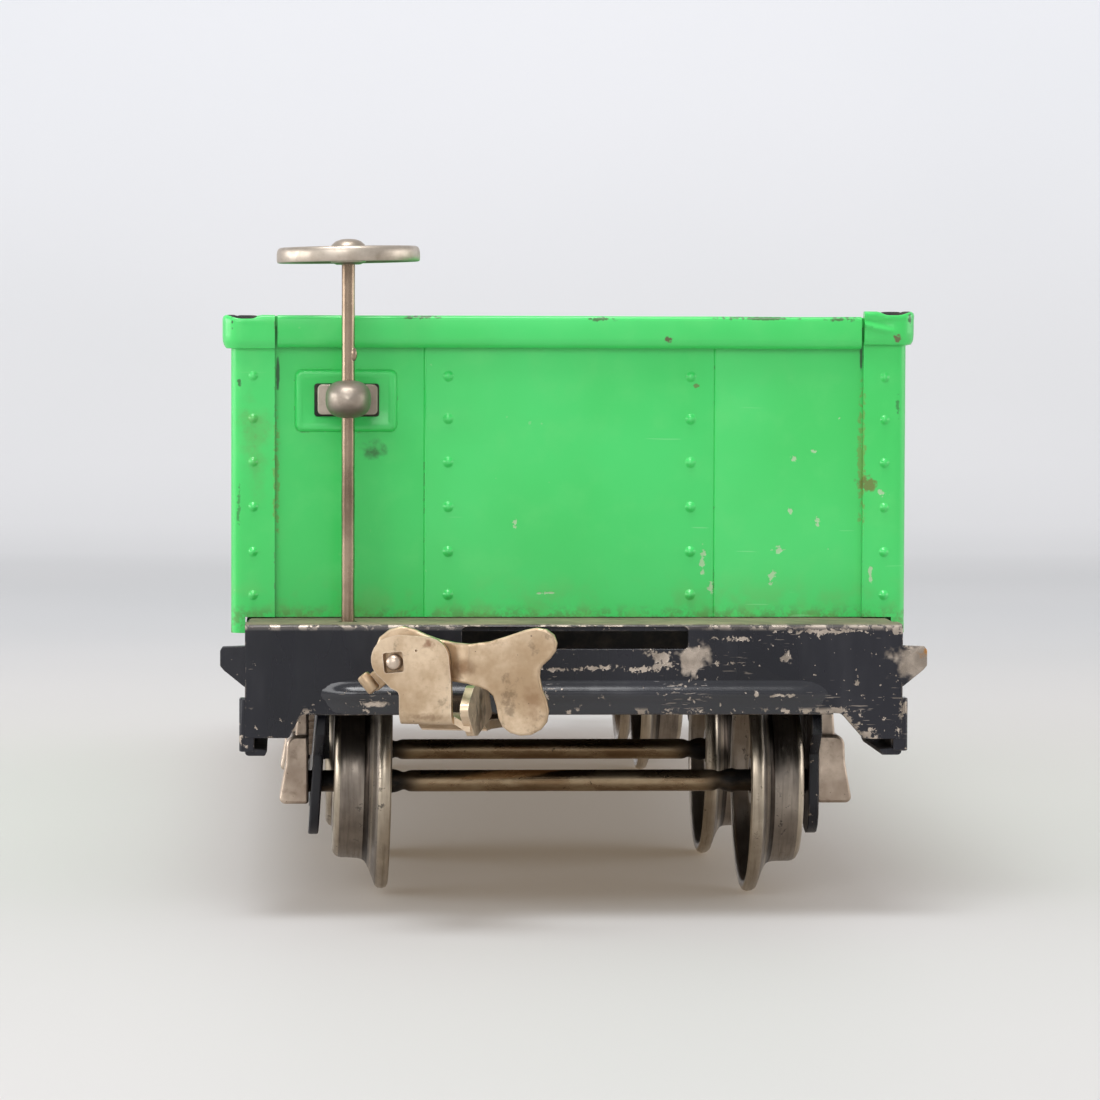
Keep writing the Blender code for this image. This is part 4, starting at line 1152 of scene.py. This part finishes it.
def hook_plate():
    """Front plate of the drawbar, cut flat and then bent back along its lower edge."""
    rx, rz = RIVET
    left = arc(0.0, 0.35, 2.95, 238, 112, 10)
    top = [(0.6, 3.55), (3.9, 3.35)] + arc(4.3, 0.35, 2.98, 84, 12, 8)
    right = [(7.5, -1.9), (7.6, -8.3), (9.6, -8.6), (9.6, -21.2)]
    low = [(0.75, -21.2), (0.75, -6.4), (0.72, -4.2), (0.55, -3.75), (-0.4, -3.3)]
    outline = [(rx + u, rz + v) for u, v in left + top + right + low]
    plate = prism_mesh(outline, (HOOK_Y, HOOK_Y + 1.0), "Y")
    turn = math.radians(6.0)
    corners = []
    for u, v in ((-1.3, -1.3), (1.3, -1.3), (1.3, 1.3), (-1.3, 1.3)):
        c, s = math.cos(turn), math.sin(turn)
        corners.append((u * c - v * s, v * c + u * s))
    square = rounded([(rx + u, rz + v) for u, v in corners], 0.3, 3)
    tools = [prism_mesh(square, (HOOK_Y - 3, HOOK_Y + 3), "Y")]
    dot = arc(rx + 3.0, rz + 1.55, 0.17, 0, 360, 8)[:-1]
    tools.append(prism_mesh(dot, (HOOK_Y - 1, HOOK_Y + 0.4), "Y"))
    plate = boolean(plate, tools)
    fold_z, fold_r = 28.7, 1.7
    levels = [fold_z - 0.27 * k for k in range(8)] + [fold_z - 2.6]
    levels += [fold_z - 9.3 - 0.6 * k for k in range(9)]
    plate = sliced(sliced(plate, levels, 2), [rx + 7.7, rx + 8.4, rx + 9.0], 0)
    quarter = 0.5 * math.pi * (fold_r - 0.5)
    for vert in plate.vertices:
        x, y, z = vert.co / MM
        run = fold_z - z
        if run <= 0:
            continue
        radius = fold_r - (y - HOOK_Y)
        a = min(run, quarter) / (fold_r - 0.5)
        back = max(0.0, run - quarter)
        y = HOOK_Y + fold_r - radius * math.cos(a) + back
        z = fold_z - radius * math.sin(a)
        edge = smoothstep(x - rx, 7.6, 9.2) * smoothstep(11.0 - back, 0.0, 6.0)
        z -= 1.6 * smoothstep(back, 7.5, 12.0) + 0.9 * edge
        vert.co = Vector((x, y, z)) * MM
    return plate


def drawbar_shape():
    low, top = 25.3, 26.5
    bar = arc(0.0, 0.0, 6.0, -48, 228, 24)
    bar += [(-4.5, -52.0), (-5.85, -57.0), (-5.85, -60.2), (2.8, -60.2), (2.8, -57.0), (4.5, -52.0)]
    body = prism_mesh(bar, (low, top), "Z")
    body = boolean(body, [prism_mesh(arc(0, 0, 2.3, 0, 360, 24)[:-1], (20, 30), "Z")])
    side = [(-58.4, 27.2), (-62.0, 26.4), (-67.5, low), (-69.2, low + 0.1), (-73.2, 28.2)]
    side += [(-73.6, 29.0), (-73.3, 29.7), (-70.2, 31.7), (-69.2, 31.9)]
    side += [(-62.0, 31.4), (-60.2, 30.4), (-58.6, 28.0)]
    flange = prism_mesh(rounded(side, 0.5, 3), (2.05, 3.15), "X")
    return boolean(body, [flange, hook_plate()], "UNION")


def latch_shape():
    """Dog-bone lever swung beside the hook plate, joggled forward clear of its edge."""
    rx, rz = RIVET
    points = [(-3.0, -0.6), (-2.9, 1.4), (-2.2, 3.1), (-0.9, 4.15), (0.8, 4.6), (2.4, 4.2), (4.0, 3.5)]
    points += [(5.7, 2.95), (7.8, 2.6), (9.9, 2.5), (12.4, 2.85), (15.1, 3.7), (17.2, 4.45)]
    points += [(18.6, 4.72), (19.9, 4.55), (20.9, 3.85), (21.3, 2.8), (21.15, 1.8), (20.4, 0.8)]
    points += [(19.4, -0.1), (19.1, -0.7), (19.05, -1.6), (19.4, -3.2), (20.0, -4.6), (20.25, -5.9)]
    points += [(20.0, -7.3), (19.2, -8.3), (18.0, -8.95), (16.6, -9.1), (15.2, -8.75), (14.2, -8.0)]
    points += [(13.7, -6.9), (13.4, -5.3), (13.0, -4.1), (12.3, -3.4), (11.2, -2.95), (9.6, -2.6)]
    points += [(7.6, -2.4), (3.0, -2.5), (-0.5, -2.8), (-1.6, -2.9), (-2.5, -2.2)]
    outline = [(rx + u, rz + v) for u, v in points]
    lever = prism_mesh(outline, (-72.0, -70.9), "Y")
    lever = sliced(lever, [rx + 5.5 + 0.5 * k for k in range(13)], 0)
    for vert in lever.vertices:
        u = vert.co.x / MM - rx
        vert.co.y -= (1.4 * smoothstep(u, 6.2, 10.6) + 0.25 * smoothstep(u, 16.0, 21.0)) * MM
    bm = bmesh.new()
    bm.from_mesh(lever)
    along = Vector((0.64, 0.0, -0.77))
    across = Vector((0.77, 0.0, 0.64))
    middle = Vector((rx - 3.5, -72.3, rz - 2.75))
    roll = ((-1.3, 0.0), (-1.3, 0.62), (-1.2, 0.8), (-1.0, 0.88), (1.0, 0.88), (1.2, 0.8), (1.3, 0.62))
    rings = []
    for s_along, radius in roll + ((1.3, 0.0),):
        ring = []
        for c, s in circle(20):
            out = across * c + Vector((0.0, s, 0.0))
            ring.append(tuple(middle + along * s_along + out * max(radius, 0.02)))
        rings.append(ring)
    add_loft(bm, rings)
    corners = [(-4.3, -2.2), (-2.6, -3.9), (-0.9, -2.6), (-2.6, -1.0)]
    add_prism(bm, [(rx + u, rz + v) for u, v in corners], (-72.0, -70.95), "Y")
    return mesh_from("latch", bm, 35)


def rivet_shape():
    bm = bmesh.new()
    face = HOOK_Y
    profile = [(0.0, face - 0.62), (0.45, face - 0.56), (0.8, face - 0.38), (0.98, face - 0.05)]
    profile += [(1.03, face + 0.3), (1.03, -70.6), (2.0, -70.6), (2.0, -70.2), (1.3, -69.8), (0.0, -69.7)]
    add_lathe(bm, profile, "Y", (RIVET[0], 0.0, RIVET[1]), 32)
    return mesh_from("rivet", bm, 35)


def coupler(tag):
    body = "coupler_" + tag
    pieces = (
        ("drawbar_", drawbar_shape(), body, TAN_NICKEL, 0.22),
        ("latch_", latch_shape(), "latch_body_" + tag, TAN_NICKEL, 0.3),
        ("latch_rivet_", rivet_shape(), body, GRAINY_NICKEL, 0.0),
    )
    for name, mesh, rides_on, material, soft in pieces:
        mesh.name = name + tag
        shade(mesh, 35)
        obj = link(name + tag + "_formed", on_coupler(mesh, tag), rides_on)
        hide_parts(name + tag)
        if soft:
            bevelled(obj, soft, 3, 40)
        dress(obj, material, "nickel")


# ---------------- stage

GLOW_FLOOR = (0.155, 0.117, 0.078, 1.0)
GLOW_FAR = (0.095, 0.083, 0.07, 1.0)
GLOW_BACK = (0.305, 0.29, 0.285, 1.0)
GLOW_TOP = (0.42, 0.415, 0.435, 1.0)


def stage():
    """Pale sweep: flat floor that curves up into the backdrop, with a faint painted glow (emission) that
    lifts the shade under the wagon.
    """
    bm = bmesh.new()
    rows = [(-1.6, 0.0), (-0.6, 0.0), (0.0, 0.0), (0.5, 0.0), (0.9, 0.0)]
    for k in range(1, 10):
        a = math.radians(10 * k)
        rows.append((0.9 + 0.5 * math.sin(a), 0.5 - 0.5 * math.cos(a)))
    rows.append((1.4, 2.6))
    lines = [[bm.verts.new((x, y, z)) for x in (-2.6, 2.6)] for y, z in rows]
    for first, second in zip(lines, lines[1:]):
        bm.faces.new((first[0], first[1], second[1], second[0]))
    mesh = mesh_from("floor", bm, 60)
    floor = bpy.data.objects.new("floor", mesh)
    bpy.context.scene.collection.objects.link(floor)
    f = Finish("pale_floor")
    cloud = f.noise(3.0, 2.0)
    colour = f.mix(f.ramp(cloud, 0.3, 0.7), rgb(185, 187, 190), rgb(180, 183, 186))
    away = f.axis("Y")
    glow = f.mix(f.ramp(away, 0.1, 0.55), GLOW_FLOOR, GLOW_FAR)
    glow = f.mix(f.ramp(away, 0.7, 1.15), glow, GLOW_BACK)
    glow = f.mix(f.ramp(away, 1.12, 1.38), glow, GLOW_TOP)
    f.plug(glow, f.shader.inputs["Emission Color"])
    f.shader.inputs["Emission Strength"].default_value = 1.0
    mesh.materials.append(f.done(colour, 0.6))


def area_light(name, place, aim, size, power):
    data = bpy.data.lights.new(name, "AREA")
    data.shape = "RECTANGLE"
    data.size, data.size_y = size
    data.energy = power
    obj = bpy.data.objects.new(name, data)
    bpy.context.scene.collection.objects.link(obj)
    obj.location = place
    obj.rotation_euler = (Vector(aim) - Vector(place)).to_track_quat("-Z", "Y").to_euler()


def lights():
    world = bpy.data.worlds.new("soft_room")
    bpy.context.scene.world = world
    world.use_nodes = True
    back = world.node_tree.nodes["Background"]
    back.inputs["Color"].default_value = (0.97, 0.98, 1.0, 1.0)
    back.inputs["Strength"].default_value = 0.62
    area_light("top_light", (-0.15, -0.35, 1.25), (0, -0.08, 0), (0.55, 0.55), 9.0)
    area_light("front_light", (-0.45, -1.5, 0.7), (0, -0.1, 0.04), (0.9, 0.7), 5.8)
    area_light("left_light", (-1.1, -0.1, 0.25), (0, -0.05, 0.02), (0.9, 0.35), 4.4)
    area_light("right_light", (1.1, -0.1, 0.25), (0, -0.05, 0.02), (0.9, 0.35), 2.4)


def camera():
    data = bpy.data.cameras.new("view")
    data.sensor_width = 36.0
    data.lens = 36.0 * 4600.0 / 1100.0
    data.clip_start = 0.02
    data.clip_end = 20.0
    obj = bpy.data.objects.new("view", data)
    bpy.context.scene.collection.objects.link(obj)
    obj.location = (-0.0370, -0.7486, 0.0762)
    obj.rotation_euler = (math.radians(90.0 - 2.605), math.radians(-0.185), math.radians(-3.186))
    bpy.context.scene.camera = obj


def main():
    tub()
    frame_pressing()
    king_pins()
    brake_bracket()
    brake_staff()
    brake_wheel()
    truck("a", -TRUCK_Y)
    truck("b", TRUCK_Y)
    coupler("a")
    coupler("b")
    stage()
    lights()
    camera()
    bpy.context.scene.view_settings.view_transform = "Standard"


main()
